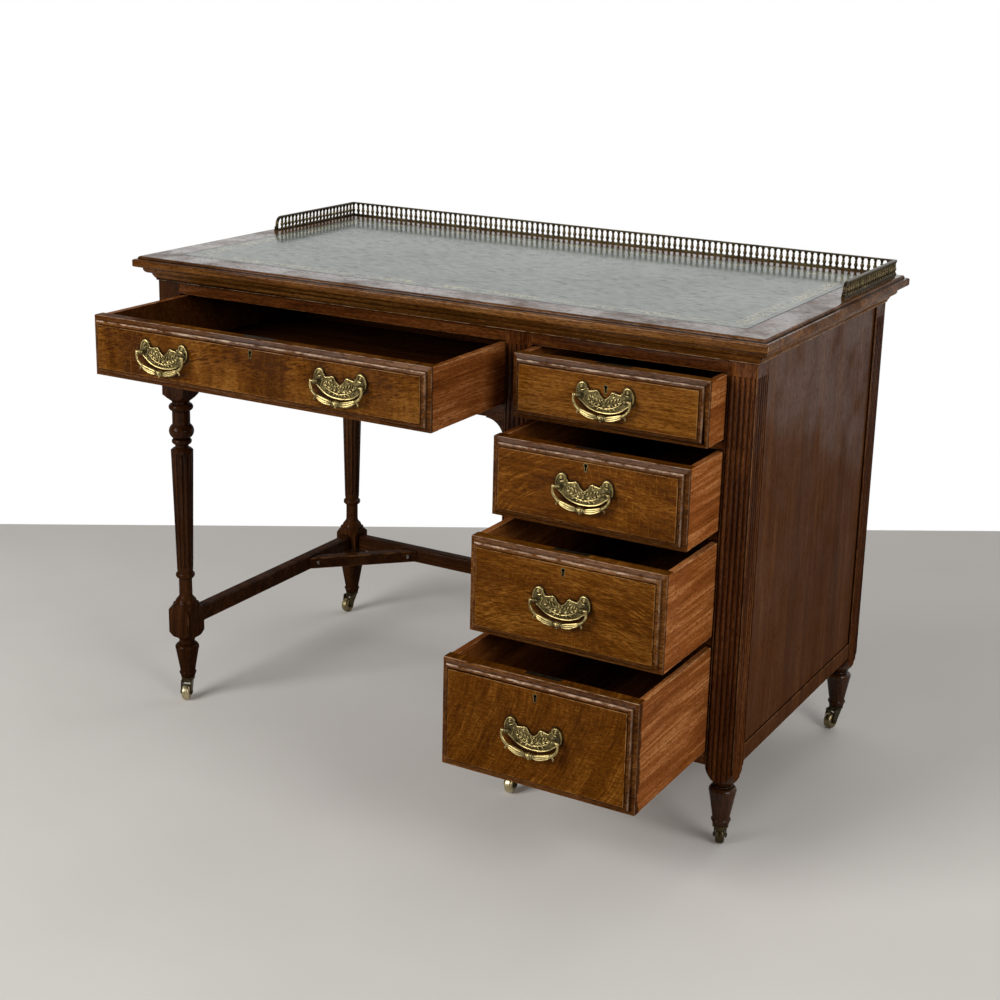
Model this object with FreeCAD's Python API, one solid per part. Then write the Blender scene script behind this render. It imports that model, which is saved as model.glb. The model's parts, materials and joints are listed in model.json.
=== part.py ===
import FreeCAD, Part
import math
import os

os.makedirs("parts", exist_ok=True)

# Writing desk, in millimetres. X runs along the front, Y towards the back, Z up from the floor.

# Top
top_width = 1067.0
top_depth = 597.0
writing_height = 758.0
edge_height = 12.6
edge_round = 3.5
lip_height = 4.7
lip_inset = 6.5
lip_round = 4.0
leather_border_side = 53.5
leather_border_front = 57.0
leather_border_back = 57.0
leather_thick = 1.3

# Moulding under the top
moulding_height = 22.7
moulding_reach = 17.0

# Brass gallery on three sides of the top
gallery_side_inset = 21.8
gallery_back_inset = 13.5
gallery_front_end = 52.0
gallery_height = 23.5
gallery_base_wide = 6.0
gallery_base_thick = 2.2
gallery_rail_wide = 5.0
gallery_rail_thick = 2.4
gallery_back_spaces = 98
gallery_side_spaces = 22

# Square stock of the legs and posts, and where they stand under the top
post = 42.0
side_overhang = 25.0
front_overhang = 33.0
back_overhang = 33.0
pedestal_width = 381.0
foot_bottom = 37.0

# Reeding on the show faces of the pedestal posts
reed_count = 5
reed_depth = 1.6
reed_margin = 2.0
reed_stop = 2.5
reed_rise = 66.0

# Fluting on the legs
flute_count = 12
flute_round_low = 2.3
flute_round_high = 3.2
flute_stand_off = 1.1
flute_stop = 6.0
shaft_low = (13.3, 229.8)
shaft_high_radius = 18.3
shaft_drop = 149.0
leg_square_drop = 54.0

# Frieze, rails and panels
top_rail_drop = 40.2
frieze_tall = 115.5
top_rail_thick = 22.0
drawer_rail = 14.0
rail_setback = 1.5
rail_depth = 40.0
bottom_rail_tall = 20.0
pedestal_bottom = 131.0
side_rail_top = 157.0
side_rail_thick = 16.0
panel_thick = 14.0
panel_setback = 3.0
back_panel_thick = 12.0
frieze_rail_thick = 20.0
frieze_rail_setback = 2.0
tenon_long = 15.0
tenon_thick = 8.0
tenon_shoulder = 2.5
tongue_long = 7.0
tongue_thick = 6.0
tongue_stop = 12.0
bracket_reach = 31.0
bracket_thick = 18.0
bracket_tip = 1.5

# Drawers; the bottom one takes the height that the others leave
upper_drawer_heights = [91.0, 113.0, 138.0]
drawer_names = ["top", "second", "third", "bottom"]
drawer_open = {"long": 204.8, "top": 62.3, "second": 113.8, "third": 168.8, "bottom": 237.3}
drawer_gap = 1.0
drawer_side_gap = 1.5
drawer_depth = 485.0
front_thick = 18.0
front_moulding_wide = 12.5
field_proud = 10.0
field_quirk = 1.7
side_thick = 10.0
side_drop = 1.5
dovetail_lap = 5.0
dovetail_slope = 1.0 / 7.0
dovetail_pitch = 32.0
bottom_thick = 7.0
bottom_rise = 9.0
bottom_groove = 5.0
back_thick = 10.0
back_inset = 3.0
back_housing = 4.0
back_drop = 6.0

# Runners that carry the drawers, the guides beside them and the kickers above
runner_reach = 12.0
guide_height = 18.0
top_screw_inset = 70.0
top_screw_shank = 2.2
top_screw_head = 4.6
top_screw_sink = 11.5
top_screw_bite = 11.0
stop_wide = 30.0
stop_deep = 13.0
stop_height = 7.0
stop_gap = 0.2

# Locks and keyholes
lock_wide = 54.0
lock_tall = 38.0
lock_deep = 10.0
key_drop = {"long": 17.2, "top": 27.0, "second": 17.0, "third": 19.0, "bottom": 20.5}
key_round = 2.4
key_slot_wide = 2.4
key_slot_long = 8.0
key_pocket = 6.0
thread_wide = 1.1
thread_deep = 4.0

# Handles
handle_spacing = 310.0
handle_rise = {"long": 4.3, "top": 3.5, "second": 5.5, "third": 2.0, "bottom": 3.0}
plate_thick = 2.2
pivot_half = 35.4
pivot_up = 2.0
pivot_out = 12.0
post_ball = 4.0
post_neck = 2.8
post_flange = 5.2
post_flange_thick = 1.8
post_shank = 2.2
shank_room = 0.1
nut_radius = 5.5
nut_thick = 3.0
bail_pin = 1.8
bail_pin_room = 0.05
bail_arm_half = 42.1
bail_knob = 4.0
bail_drop = 25.5
bail_shoulder = 2.1

# Stretchers between the legs and the pedestal
stretcher_wide = 20.0
stretcher_low = 128.0
stretcher_high = 155.0
stretcher_round = 4.0
brace_reach = 145.0
brace_wide = 20.0
brace_drop = 2.0
screw_shank = 2.0
screw_head = 4.0

# Castors
wheel_radius = 13.5
wheel_wide = 13.0
wheel_round = 4.5
castor_trail = 13.0
axle_radius = 1.5
axle_room = 0.05
cheek_gap = 0.4
cheek_thick = 2.3
socket_radius = 11.5
socket_thick = 3.5
stem_radius = 5.0
stem_long = 23.0
pintle_radius = 2.5
pintle_room = 0.05
pintle_long = 21.0
thrust_gap = 0.2
crown_thick = 4.5
castor_turn = {
    "front_left": -63.6,
    "back_left": 266.0,
    "pedestal_front_left": 276.0,
    "pedestal_back_left": 170.0,
    "front_right": 111.0,
    "back_right": 253.5,
}

# Levels and faces that follow from the sizes above
fascia_top = writing_height - lip_height
board_bottom = fascia_top - edge_height
moulding_bottom = board_bottom - moulding_height
top_rail_bottom = board_bottom - top_rail_drop
frieze_bottom = top_rail_bottom - frieze_tall
reed_top = top_rail_bottom - reed_stop
reed_bottom = foot_bottom + reed_rise
leg_top = frieze_bottom - leg_square_drop
shaft_high = (shaft_high_radius, frieze_bottom - shaft_drop)
flute_low = shaft_low[1] + flute_stop
flute_high = shaft_high[1] - flute_stop
top_screw_head_level = top_rail_bottom + top_screw_sink
drawer_room = top_rail_bottom - pedestal_bottom - bottom_rail_tall
drawer_room = drawer_room - 8 * drawer_gap - 3 * drawer_rail
drawer_heights = upper_drawer_heights + [drawer_room - sum(upper_drawer_heights)]
front_face = -top_depth / 2 + front_overhang
back_face = top_depth / 2 - back_overhang
right_face = top_width / 2 - side_overhang
left_face = -right_face
half = post / 2
front_row = front_face + half
back_row = back_face - half
leg_column = left_face + half
right_column = right_face - half
stile_column = right_face - pedestal_width + half
front_inner = front_row + half
back_inner = back_row - half

# The desk is placed so that the origin lies under the middle of its box with the drawers drawn out
handle_reach = pivot_out + post_ball
box_front = front_face - max(drawer_open.values()) - handle_reach
shift_back = -(box_front + top_depth / 2) / 2


def vec(x, y, z):
    return FreeCAD.Vector(x, y, z)


def box(x0, x1, y0, y1, z0, z1):
    return Part.makeBox(x1 - x0, y1 - y0, z1 - z0, vec(x0, y0, z0))


def rod(start, end, radius):
    along = end.sub(start)
    return Part.makeCylinder(radius, along.Length, start, along)


def prism(points, along):
    corners = [vec(*p) for p in points]
    wire = Part.makePolygon(corners + [corners[0]])
    return Part.Face(wire).extrude(along)


def outline(points):
    # Edges through the points; a point with a second pair is reached by an arc through that pair.
    edges = []
    last = points[0]
    for p in points[1:]:
        start = vec(last[0], 0, last[1])
        end = vec(p[0], 0, p[1])
        if len(p) == 4:
            edges.append(Part.Arc(start, vec(p[2], 0, p[3]), end).toShape())
        else:
            edges.append(Part.makeLine(start, end))
        last = p
    return edges


def turned(profile, x, y):
    # A turning on the upright axis at x, y; the profile gives radius and height from the bottom up.
    low = profile[0][1]
    high = profile[-1][1]
    edges = [Part.makeLine(vec(0, 0, low), vec(profile[0][0], 0, low))]
    edges += outline(profile)
    edges.append(Part.makeLine(vec(profile[-1][0], 0, high), vec(0, 0, high)))
    edges.append(Part.makeLine(vec(0, 0, high), vec(0, 0, low)))
    face = Part.Face(Part.Wire(edges))
    solid = face.revolve(vec(0, 0, 0), vec(0, 0, 1), 360)
    solid.translate(vec(x, y, 0))
    return solid


def strip(profile, origin, along, inward, outward, length, mitre_start, mitre_end):
    # A moulded strip; its profile gives distance inward and outward, and its ends can be mitred.
    edges = []
    for edge in outline(profile + [profile[0][:2]]):
        edges.append(edge)
    face = Part.Face(Part.Wire(edges))
    matrix = FreeCAD.Matrix(
        inward.x, along.x, outward.x, origin.x,
        inward.y, along.y, outward.y, origin.y,
        inward.z, along.z, outward.z, origin.z,
        0, 0, 0, 1)
    solid = face.extrude(vec(0, length, 0))
    wide = max(p[0] for p in profile)
    reach = max(p[1] for p in profile) + 1.0
    near = wide if mitre_start else 0.0
    far = length - (wide if mitre_end else 0.0)
    plan = [(0, 0, -1), (0, length, -1), (wide, far, -1), (wide, near, -1)]
    solid = solid.common(prism(plan, vec(0, 0, reach + 1.0)))
    return solid.transformGeometry(matrix)


saved = []


def save(name, solids):
    group = Part.makeCompound(solids)
    group.translate(vec(0, shift_back, 0))
    group.exportStep("parts/" + name + ".step")
    saved.append((name, len(group.Solids)))


# Top board, with the edge moulded in the solid and a recess for the leather

top_slab = box(-top_width / 2, top_width / 2, -top_depth / 2, top_depth / 2, board_bottom, fascia_top)
flat_edges = [e for e in top_slab.Edges if abs(e.Vertexes[0].Z - e.Vertexes[1].Z) < 0.01]
top_slab = top_slab.makeFillet(edge_round, flat_edges)
lip_x = top_width / 2 - lip_inset
lip_y = top_depth / 2 - lip_inset
top_lip = box(-lip_x, lip_x, -lip_y, lip_y, fascia_top - 1.0, writing_height)
lip_edges = [e for e in top_lip.Edges if all(abs(v.Z - writing_height) < 0.01 for v in e.Vertexes)]
top_lip = top_lip.makeFillet(lip_round, lip_edges)
leather = box(-top_width / 2 + leather_border_side, top_width / 2 - leather_border_side,
              -top_depth / 2 + leather_border_front, top_depth / 2 - leather_border_back,
              writing_height - leather_thick, writing_height)
top_board = top_slab.fuse(top_lip).cut(leather).removeSplitter()
save("writing_leather", [leather])

# Moulding under the top: fillet, ovolo, cavetto, mitred at the two front corners

crown = [
    (0, 0),
    (moulding_height, 0),
    (moulding_height, moulding_reach),
    (moulding_height - 4.0, moulding_reach),
    (moulding_height - 11.0, moulding_reach - 7.5, moulding_height - 8.6, moulding_reach - 1.8),
    (moulding_height - 11.0, moulding_reach - 9.5),
    (2.6, 2.4, moulding_height - 17.5, 4.6),
    (0, 2.4),
]


def crown_strip(origin, along, outward, length, mitre_start, mitre_end):
    # Runs under the top with its upper face against the board; mitres open outward.
    edges = outline(crown + [crown[0][:2]])
    face = Part.Face(Part.Wire(edges))
    reach = moulding_reach
    start = -reach if mitre_start else 0.0
    end = length + (reach if mitre_end else 0.0)
    solid = face.extrude(vec(0, length + 2 * reach, 0))
    solid.translate(vec(0, -reach, 0))
    plan = [(-1, 0, 0), (-1, length, 0), (-1, end, reach), (-1, start, reach)]
    solid = solid.common(prism(plan, vec(moulding_height + 2.0, 0, 0)))
    matrix = FreeCAD.Matrix(
        0, along.x, outward.x, origin.x,
        0, along.y, outward.y, origin.y,
        1, along.z, outward.z, origin.z,
        0, 0, 0, 1)
    return solid.transformGeometry(matrix)


crown_front = crown_strip(vec(left_face, front_face, moulding_bottom), vec(1, 0, 0), vec(0, -1, 0),
                          right_face - left_face, True, True)
crown_right = crown_strip(vec(right_face, front_face, moulding_bottom), vec(0, 1, 0), vec(1, 0, 0),
                          back_face - front_face, True, False)
crown_left = crown_strip(vec(left_face, front_face, moulding_bottom), vec(0, 1, 0), vec(-1, 0, 0),
                         back_face - front_face, True, False)
save("under_top_moulding", [crown_front, crown_right, crown_left])

# Gallery

gallery_x = top_width / 2 - gallery_side_inset
gallery_y = top_depth / 2 - gallery_back_inset
base_half = gallery_base_wide / 2
base_top = writing_height + gallery_base_thick
rail_half = gallery_rail_wide / 2
rail_top = writing_height + gallery_height
rail_bottom = rail_top - gallery_rail_thick
bases = [box(-gallery_x - base_half, gallery_x + base_half, gallery_y - base_half, gallery_y + base_half,
             writing_height, base_top)]
rails = [box(-gallery_x - rail_half, gallery_x + rail_half, gallery_y - rail_half, gallery_y + rail_half,
             rail_bottom, rail_top)]
scroll_drop = rail_bottom - base_top
scroll_bend = scroll_drop * 0.62
for x in (-gallery_x, gallery_x):
    bases.append(box(x - base_half, x + base_half, gallery_front_end - 6.0, gallery_y - base_half,
                     writing_height, base_top))
    straight = box(x - rail_half, x + rail_half, gallery_front_end + scroll_bend, gallery_y - rail_half,
                   rail_bottom, rail_top)
    middle_y = gallery_front_end + scroll_bend
    middle_z = rail_bottom - scroll_bend
    ring = Part.makeCylinder(scroll_bend + gallery_rail_thick, gallery_rail_wide,
                             vec(x - rail_half, middle_y, middle_z), vec(1, 0, 0))
    ring = ring.cut(Part.makeCylinder(scroll_bend, gallery_rail_wide,
                                      vec(x - rail_half, middle_y, middle_z), vec(1, 0, 0)))
    quarter = box(x - rail_half, x + rail_half, middle_y - scroll_bend - gallery_rail_thick, middle_y,
                  middle_z, rail_top)
    bend = ring.common(quarter)
    foot_y = middle_y - scroll_bend - gallery_rail_thick
    stem = box(x - rail_half, x + rail_half, foot_y, foot_y + gallery_rail_thick, base_top, middle_z)
    curl = Part.makeCylinder(2.4, gallery_rail_wide, vec(x - rail_half, foot_y - 0.6, base_top + 2.4),
                             vec(1, 0, 0))
    rails.append(straight.fuse([bend, stem, curl]).removeSplitter())
save("gallery_base_rail", bases)
save("gallery_top_rail", rails)

spindle_tall = rail_bottom - base_top
spindle = [
    (2.7, 0.0), (2.7, 0.07), (1.6, 0.13), (3.0, 0.28), (3.1, 0.40), (1.7, 0.55), (2.5, 0.61), (1.7, 0.68),
    (2.0, 0.83), (3.4, 1.0),
]
spindle_profile = [(r, base_top + t * spindle_tall) for r, t in spindle]
spindle_places = []
for i in range(gallery_back_spaces + 1):
    spindle_places.append((-gallery_x + i * 2 * gallery_x / gallery_back_spaces, gallery_y))
side_pitch = 2 * gallery_x / gallery_back_spaces
for x in (-gallery_x, gallery_x):
    for i in range(1, gallery_side_spaces):
        spindle_places.append((x, gallery_y - i * side_pitch))
first_spindle = turned(spindle_profile, 0, 0)
balusters = []
for x, y in spindle_places:
    baluster = first_spindle.copy()
    baluster.translate(vec(x, y, 0))
    balusters.append(baluster)
save("gallery_balusters", balusters)

# Rails with tenons, panels with tongues; what they let into the posts is collected for the mortises

mortises = []


def rail_along_x(x0, x1, y0, y1, z0, z1):
    solid = box(x0, x1, y0, y1, z0, z1)
    middle = (y0 + y1) / 2
    for a, b in ((x0 - tenon_long, x0), (x1, x1 + tenon_long)):
        tenon = box(a, b, middle - tenon_thick / 2, middle + tenon_thick / 2,
                    z0 + tenon_shoulder, z1 - tenon_shoulder)
        mortises.append(tenon)
        solid = solid.fuse(tenon)
    return solid.removeSplitter()


def rail_along_y(x0, x1, y0, y1, z0, z1):
    solid = box(x0, x1, y0, y1, z0, z1)
    middle = (x0 + x1) / 2
    for a, b in ((y0 - tenon_long, y0), (y1, y1 + tenon_long)):
        tenon = box(middle - tenon_thick / 2, middle + tenon_thick / 2, a, b,
                    z0 + tenon_shoulder, z1 - tenon_shoulder)
        mortises.append(tenon)
        solid = solid.fuse(tenon)
    return solid.removeSplitter()


# Drawer openings, from the top rail down

openings = {}
rail_levels = []
level = top_rail_bottom
for name, height in zip(drawer_names, drawer_heights):
    high = level - drawer_gap
    low = high - height
    openings[name] = (stile_column + half + drawer_side_gap, right_column - half - drawer_side_gap, low, high)
    level = low - drawer_gap - drawer_rail
    rail_levels.append((level, level + drawer_rail))
long_low = openings["top"][2]
long_high = openings["top"][3]
openings["long"] = (leg_column + half + drawer_side_gap, stile_column - half - drawer_side_gap,
                    long_low, long_high)

rail_front = front_face + rail_setback
rail_back = rail_front + rail_depth
front_rails = [
    rail_along_x(leg_column + half, stile_column - half, front_face, front_face + top_rail_thick,
                 top_rail_bottom, board_bottom),
    rail_along_x(stile_column + half, right_column - half, front_face, front_face + top_rail_thick,
                 top_rail_bottom, board_bottom),
    rail_along_x(leg_column + half, stile_column - half, rail_front, rail_back,
                 frieze_bottom, long_low - drawer_gap),
]
for low, high in rail_levels[:-1]:
    front_rails.append(rail_along_x(stile_column + half, right_column - half, rail_front, rail_back, low, high))
front_rails.append(rail_along_x(stile_column + half, right_column - half, rail_front, rail_back,
                                pedestal_bottom, rail_levels[-1][1]))
save("front_rails", front_rails)

frieze_left = rail_along_y(left_face + frieze_rail_setback, left_face + frieze_rail_setback + frieze_rail_thick,
                           front_inner, back_inner, frieze_bottom, board_bottom)
save("frieze_left_rail", [frieze_left])
frieze_back = rail_along_x(leg_column + half, stile_column - half,
                           back_face - frieze_rail_setback - frieze_rail_thick, back_face - frieze_rail_setback,
                           frieze_bottom, board_bottom)
save("frieze_back_rail", [frieze_back])


def pedestal_side(outer_x, inward):
    # Panel tongued into the posts and into a bottom rail; inward is the direction into the pedestal.
    a = outer_x + inward * panel_setback
    b = a + inward * panel_thick
    panel = box(min(a, b), max(a, b), front_inner, back_inner, side_rail_top, board_bottom)
    middle = (a + b) / 2
    t0 = middle - tongue_thick / 2
    t1 = middle + tongue_thick / 2
    tongues = [
        box(t0, t1, front_inner - tongue_long, front_inner, side_rail_top, board_bottom),
        box(t0, t1, back_inner, back_inner + tongue_long, side_rail_top, board_bottom),
    ]
    mortises.extend(tongues)
    bottom_tongue = box(t0, t1, front_inner + tongue_stop, back_inner - tongue_stop,
                        side_rail_top - tongue_long, side_rail_top)
    panel = panel.fuse(tongues + [bottom_tongue]).removeSplitter()
    r0 = b
    r1 = b - inward * side_rail_thick
    rail = rail_along_y(min(r0, r1), max(r0, r1), front_inner, back_inner, pedestal_bottom, side_rail_top)
    return [panel, rail.cut(bottom_tongue)]


save("pedestal_right_side", pedestal_side(right_face, -1))
save("pedestal_left_side", pedestal_side(stile_column - half, 1))

back_y1 = back_face - panel_setback
back_y0 = back_y1 - back_panel_thick
back_panel = box(stile_column + half, right_column - half, back_y0, back_y1, pedestal_bottom, board_bottom)
back_mid = (back_y0 + back_y1) / 2
back_tongues = []
for x0, x1 in ((stile_column + half - tongue_long, stile_column + half),
               (right_column - half, right_column - half + tongue_long)):
    back_tongues.append(box(x0, x1, back_mid - tongue_thick / 2, back_mid + tongue_thick / 2,
                            pedestal_bottom, board_bottom))
mortises.extend(back_tongues)
save("pedestal_back_panel", [back_panel.fuse(back_tongues).removeSplitter()])

# Stretchers, with a softened top edge, and the diagonal brace between them


def soften(solid, level_z):
    edges = []
    for e in solid.Edges:
        if all(abs(v.Z - level_z) < 0.01 for v in e.Vertexes) and e.Length > 100:
            edges.append(e)
    return solid.makeFillet(stretcher_round, edges)


side_stretcher = rail_along_y(leg_column - stretcher_wide / 2, leg_column + stretcher_wide / 2,
                              front_inner, back_inner, stretcher_low, stretcher_high)
back_stretcher = rail_along_x(leg_column + half, stile_column - half,
                              back_row - stretcher_wide / 2, back_row + stretcher_wide / 2,
                              stretcher_low, stretcher_high)
side_stretcher = soften(side_stretcher, stretcher_high)
back_stretcher = soften(back_stretcher, stretcher_high)
inner_x = leg_column + stretcher_wide / 2
inner_y = back_row - stretcher_wide / 2
slant = brace_wide * math.sqrt(0.5) * 2
brace_plan = [
    (inner_x, inner_y - brace_reach, stretcher_low + brace_drop),
    (inner_x, inner_y - brace_reach + slant, stretcher_low + brace_drop),
    (inner_x + brace_reach - slant, inner_y, stretcher_low + brace_drop),
    (inner_x + brace_reach, inner_y, stretcher_low + brace_drop),
]
brace = prism(brace_plan, vec(0, 0, stretcher_high - stretcher_round - stretcher_low - brace_drop))
screw_z = (stretcher_low + stretcher_high) / 2
screw_in = slant * 0.5
screws = []
for start, into in ((vec(inner_x, inner_y - brace_reach + screw_in, screw_z), vec(-1, 0, 0)),
                    (vec(inner_x + brace_reach - screw_in, inner_y, screw_z), vec(0, 1, 0))):
    head_at = start.sub(into * (screw_in + 1.0))
    tip = start.add(into * (stretcher_wide * 0.7))
    shank = rod(head_at, tip, screw_shank)
    head = rod(head_at, head_at.add(into * 3.5), screw_head)
    screws.append(shank.fuse(head).removeSplitter())
brace = brace.cut(screws)
side_stretcher = side_stretcher.cut(screws)
back_stretcher = back_stretcher.cut(screws)
save("stretchers", [side_stretcher, back_stretcher, brace])
save("stretcher_screws", screws)

# Legs and posts



def raised(rows, level):
    # Profile rows whose heights are counted from the level.
    return [tuple(v + level if i % 2 else v for i, v in enumerate(row)) for row in rows]


# A cone that stands on a ring, with a rolled shoulder and a neck
foot_profile = raised([
    (9.6, 0.0),
    (12.4, 5.0, 11.8, 1.6),
    (13.4, 6.0),
    (13.4, 9.4, 14.2, 7.7),
    (12.4, 10.4),
    (12.6, 12.6),
    (19.3, 51.0),
    (16.2, 59.6, 19.4, 56.4),
    (13.4, 60.2),
    (13.4, 62.8, 14.5, 61.5),
    (12.6, 63.5),
], foot_bottom)
# The square where the stretchers meet the leg, with stepped shoulders
stretcher_block = raised([
    (22.0, -15.5, 14.6, -20.6),
    (24.0, -15.0),
    (30.0, -7.5),
    (30.0, 30.5),
    (21.8, 38.0),
    (21.8, 41.0),
    (17.6, 43.0),
    (17.2, 47.0),
    (11.6, 54.0),
    (11.0, 57.5),
], stretcher_low)
shaft_profile = [
    (10.8, 213.0),
    (11.6, 214.2),
    (12.2, 225.0, 15.8, 219.6),
    shaft_low,
    shaft_high,
]
shaft_profile += raised([
    (15.6, -92.4),
    (11.0, -90.0),
    (11.0, -85.0),
    (12.4, -75.0, 16.3, -79.8),
    (14.6, -51.4, 20.4, -62.5),
    (14.6, -28.0),
    (14.4, -16.4, 19.9, -22.4),
    (14.4, -12.5),
    (20.0, -8.0),
    (30.0, 0.0),
], leg_top)
shaft_profile.append((30.0, board_bottom))
post_profile = raised([(14.0, 64.5), (30.0, 103.0, 24.6, 79.5)], foot_bottom)
post_profile.append((30.0, board_bottom))


def flutes(x, y):
    # Tapered hollows with round ends, leaning with the taper of the shaft.
    low_r = shaft_low[0] + flute_stand_off
    high_r = shaft_high[0] + flute_stand_off
    lean = math.atan2(high_r - low_r, flute_high - flute_low)
    long = math.hypot(high_r - low_r, flute_high - flute_low)
    bow = math.sqrt(0.5)
    profile = [
        (0, -flute_round_low),
        (flute_round_low, 0, flute_round_low * bow, -flute_round_low * bow),
        (flute_round_high, long),
        (0, long + flute_round_high, flute_round_high * bow, long + flute_round_high * bow),
        (0, -flute_round_low),
    ]
    face = Part.Face(Part.Wire(outline(profile)))
    cutters = []
    for i in range(flute_count):
        cutter = face.revolve(vec(0, 0, 0), vec(0, 0, 1), 360)
        cutter.rotate(vec(0, 0, 0), vec(0, 1, 0), math.degrees(lean))
        cutter.translate(vec(low_r, 0, flute_low))
        cutter.rotate(vec(0, 0, 0), vec(0, 0, 1), 360.0 * (i + 0.5) / flute_count)
        cutter.translate(vec(x, y, 0))
        cutters.append(cutter)
    return cutters


def stem_hole(x, y):
    return Part.makeCylinder(stem_radius, stem_long, vec(x, y, foot_bottom))


def leg(x, y):
    profile = foot_profile + stretcher_block + shaft_profile
    solid = turned(profile, x, y)
    solid = solid.common(box(x - half, x + half, y - half, y + half, foot_bottom, board_bottom))
    for cutter in flutes(x, y):
        solid = solid.cut(cutter)
    near = [m for m in mortises if m.BoundBox.intersect(solid.BoundBox)]
    return solid.cut(near + [stem_hole(x, y)])


def reeded_section(x, y, reeded):
    # Square section whose named faces carry reeds, drawn face by face from the front left corner.
    turns = {"front": 0, "right": 90, "back": 180, "left": 270}
    edges = []
    for face, degrees in turns.items():
        points = [(-half, -half)]
        if face in reeded:
            wide = (post - 2 * reed_margin) / reed_count
            low = -half + reed_depth
            at = -half + reed_margin
            points.append((at, -half))
            points.append((at, low))
            for i in range(reed_count):
                points.append((at + wide, low, at + wide / 2, -half))
                at = at + wide
            points.append((at, -half))
        points.append((half, -half))
        for edge in outline(points):
            edge.rotate(vec(0, 0, 0), vec(1, 0, 0), -90)
            edge.rotate(vec(0, 0, 0), vec(0, 0, 1), degrees)
            edges.append(edge)
    face = Part.Face(Part.Wire(Part.__sortEdges__(edges)))
    face.translate(vec(x, y, reed_bottom))
    return face


def pedestal_post(x, y, reeded):
    solid = turned(foot_profile + post_profile, x, y)
    low = solid.common(box(x - half, x + half, y - half, y + half, foot_bottom, reed_bottom))
    reeds = reeded_section(x, y, reeded).extrude(vec(0, 0, reed_top - reed_bottom)).common(solid)
    block = box(x - half, x + half, y - half, y + half, reed_top, board_bottom)
    solid = low.fuse([reeds, block]).removeSplitter()
    near = [m for m in mortises if m.BoundBox.intersect(solid.BoundBox)]
    return solid.cut(near + [stem_hole(x, y)])


save("front_left_leg", [leg(leg_column, front_row)])
save("back_left_leg", [leg(leg_column, back_row)])
save("pedestal_posts", [
    pedestal_post(stile_column, front_row, ("front",)),
    pedestal_post(right_column, front_row, ("front", "right")),
    pedestal_post(stile_column, back_row, ()),
    pedestal_post(right_column, back_row, ("right",)),
])

# Quarter-round brackets in the kneehole, at the pedestal and at the leg


def bracket(x, side):
    y0 = front_face + rail_setback
    reach = bracket_reach
    tip = bracket_tip
    bend = reach - tip
    lean = bend * (1 - math.sqrt(0.5))
    points = [
        (x, frieze_bottom),
        (x + side * reach, frieze_bottom),
        (x + side * reach, frieze_bottom - tip),
        (x + side * tip, frieze_bottom - reach, x + side * (tip + lean), frieze_bottom - tip - lean),
        (x, frieze_bottom - reach),
        (x, frieze_bottom),
    ]
    face = Part.Face(Part.Wire(outline(points)))
    face.translate(vec(0, y0, 0))
    return face.extrude(vec(0, bracket_thick, 0))


save("kneehole_brackets", [bracket(stile_column - half, -1), bracket(leg_column + half, 1)])

# Runners, guides, kickers and stops

right_wall = right_face - panel_setback - panel_thick
stile_wall = stile_column - half + panel_setback + panel_thick
knee_wall = stile_column - half + panel_setback
leg_wall = left_face + frieze_rail_setback + frieze_rail_thick


def top_screw(x, y):
    # Countersunk from below, so that the head stays clear of the drawers.
    shank = rod(vec(x, y, top_screw_head_level), vec(x, y, board_bottom + top_screw_bite), top_screw_shank)
    head = rod(vec(x, y, top_screw_head_level), vec(x, y, top_screw_head_level + 4.0), top_screw_head)
    return shank.fuse(head).removeSplitter()


walls = {"long": (leg_wall, knee_wall)}
for name in drawer_names:
    walls[name] = (stile_wall, right_wall)
runners = []
stops = []
top_screws = []
for name, (x0, x1, low, high) in openings.items():
    wall0, wall1 = walls[name]
    under = low - drawer_gap - drawer_rail
    guide0 = x0 - drawer_side_gap
    guide1 = x1 + drawer_side_gap
    for a, b, ga, gb in ((wall0, x0 + runner_reach, wall0, guide0), (x1 - runner_reach, wall1, guide1, wall1)):
        runner = box(a, b, front_inner, back_inner, under, low)
        guide = box(ga, gb, front_inner, back_inner, low, low + guide_height)
        runners.append(runner.fuse(guide).removeSplitter())
        if name in ("long", "top"):
            kicker = box(a, b, front_inner, back_inner, top_rail_bottom, board_bottom)
            for y in (front_inner + top_screw_inset, back_inner - top_screw_inset):
                x = (a + b) / 2
                screw = top_screw(x, y)
                sink = rod(vec(x, y, top_rail_bottom), vec(x, y, top_screw_head_level), top_screw_head)
                kicker = kicker.cut([screw, sink])
                top_screws.append(screw)
            runners.append(kicker)
    stop_front = front_face + field_proud + front_thick + stop_gap
    for x in (x0 + 0.28 * (x1 - x0), x1 - 0.28 * (x1 - x0)):
        stops.append(box(x - stop_wide / 2, x + stop_wide / 2, stop_front, stop_front + stop_deep,
                         low - drawer_gap, low - drawer_gap + stop_height))
save("drawer_runners", runners)
save("drawer_stops", stops)
save("top_screws", top_screws)
save("top_board", [top_board.cut(top_screws)])

# Drawers

# The field stands proud, and the moulding round it falls away to the edge: quirk, ovolo, step and slope
front_profile = [
    (0, 0),
    (front_moulding_wide, 0),
    (front_moulding_wide, field_proud - field_quirk),
    (front_moulding_wide - 0.9, field_proud - field_quirk),
    (6.4, 4.2, 7.95, 7.1),
    (6.4, 2.7),
    (0, 1.2),
]


def keyhole(x, y0, y1, z, grow):
    hole = rod(vec(x, y0, z), vec(x, y1, z), key_round + grow)
    slot_half = key_slot_wide / 2 + grow
    slot = box(x - slot_half, x + slot_half, y0, y1, z - key_slot_long - grow, z)
    return hole.fuse(slot).removeSplitter()


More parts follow.
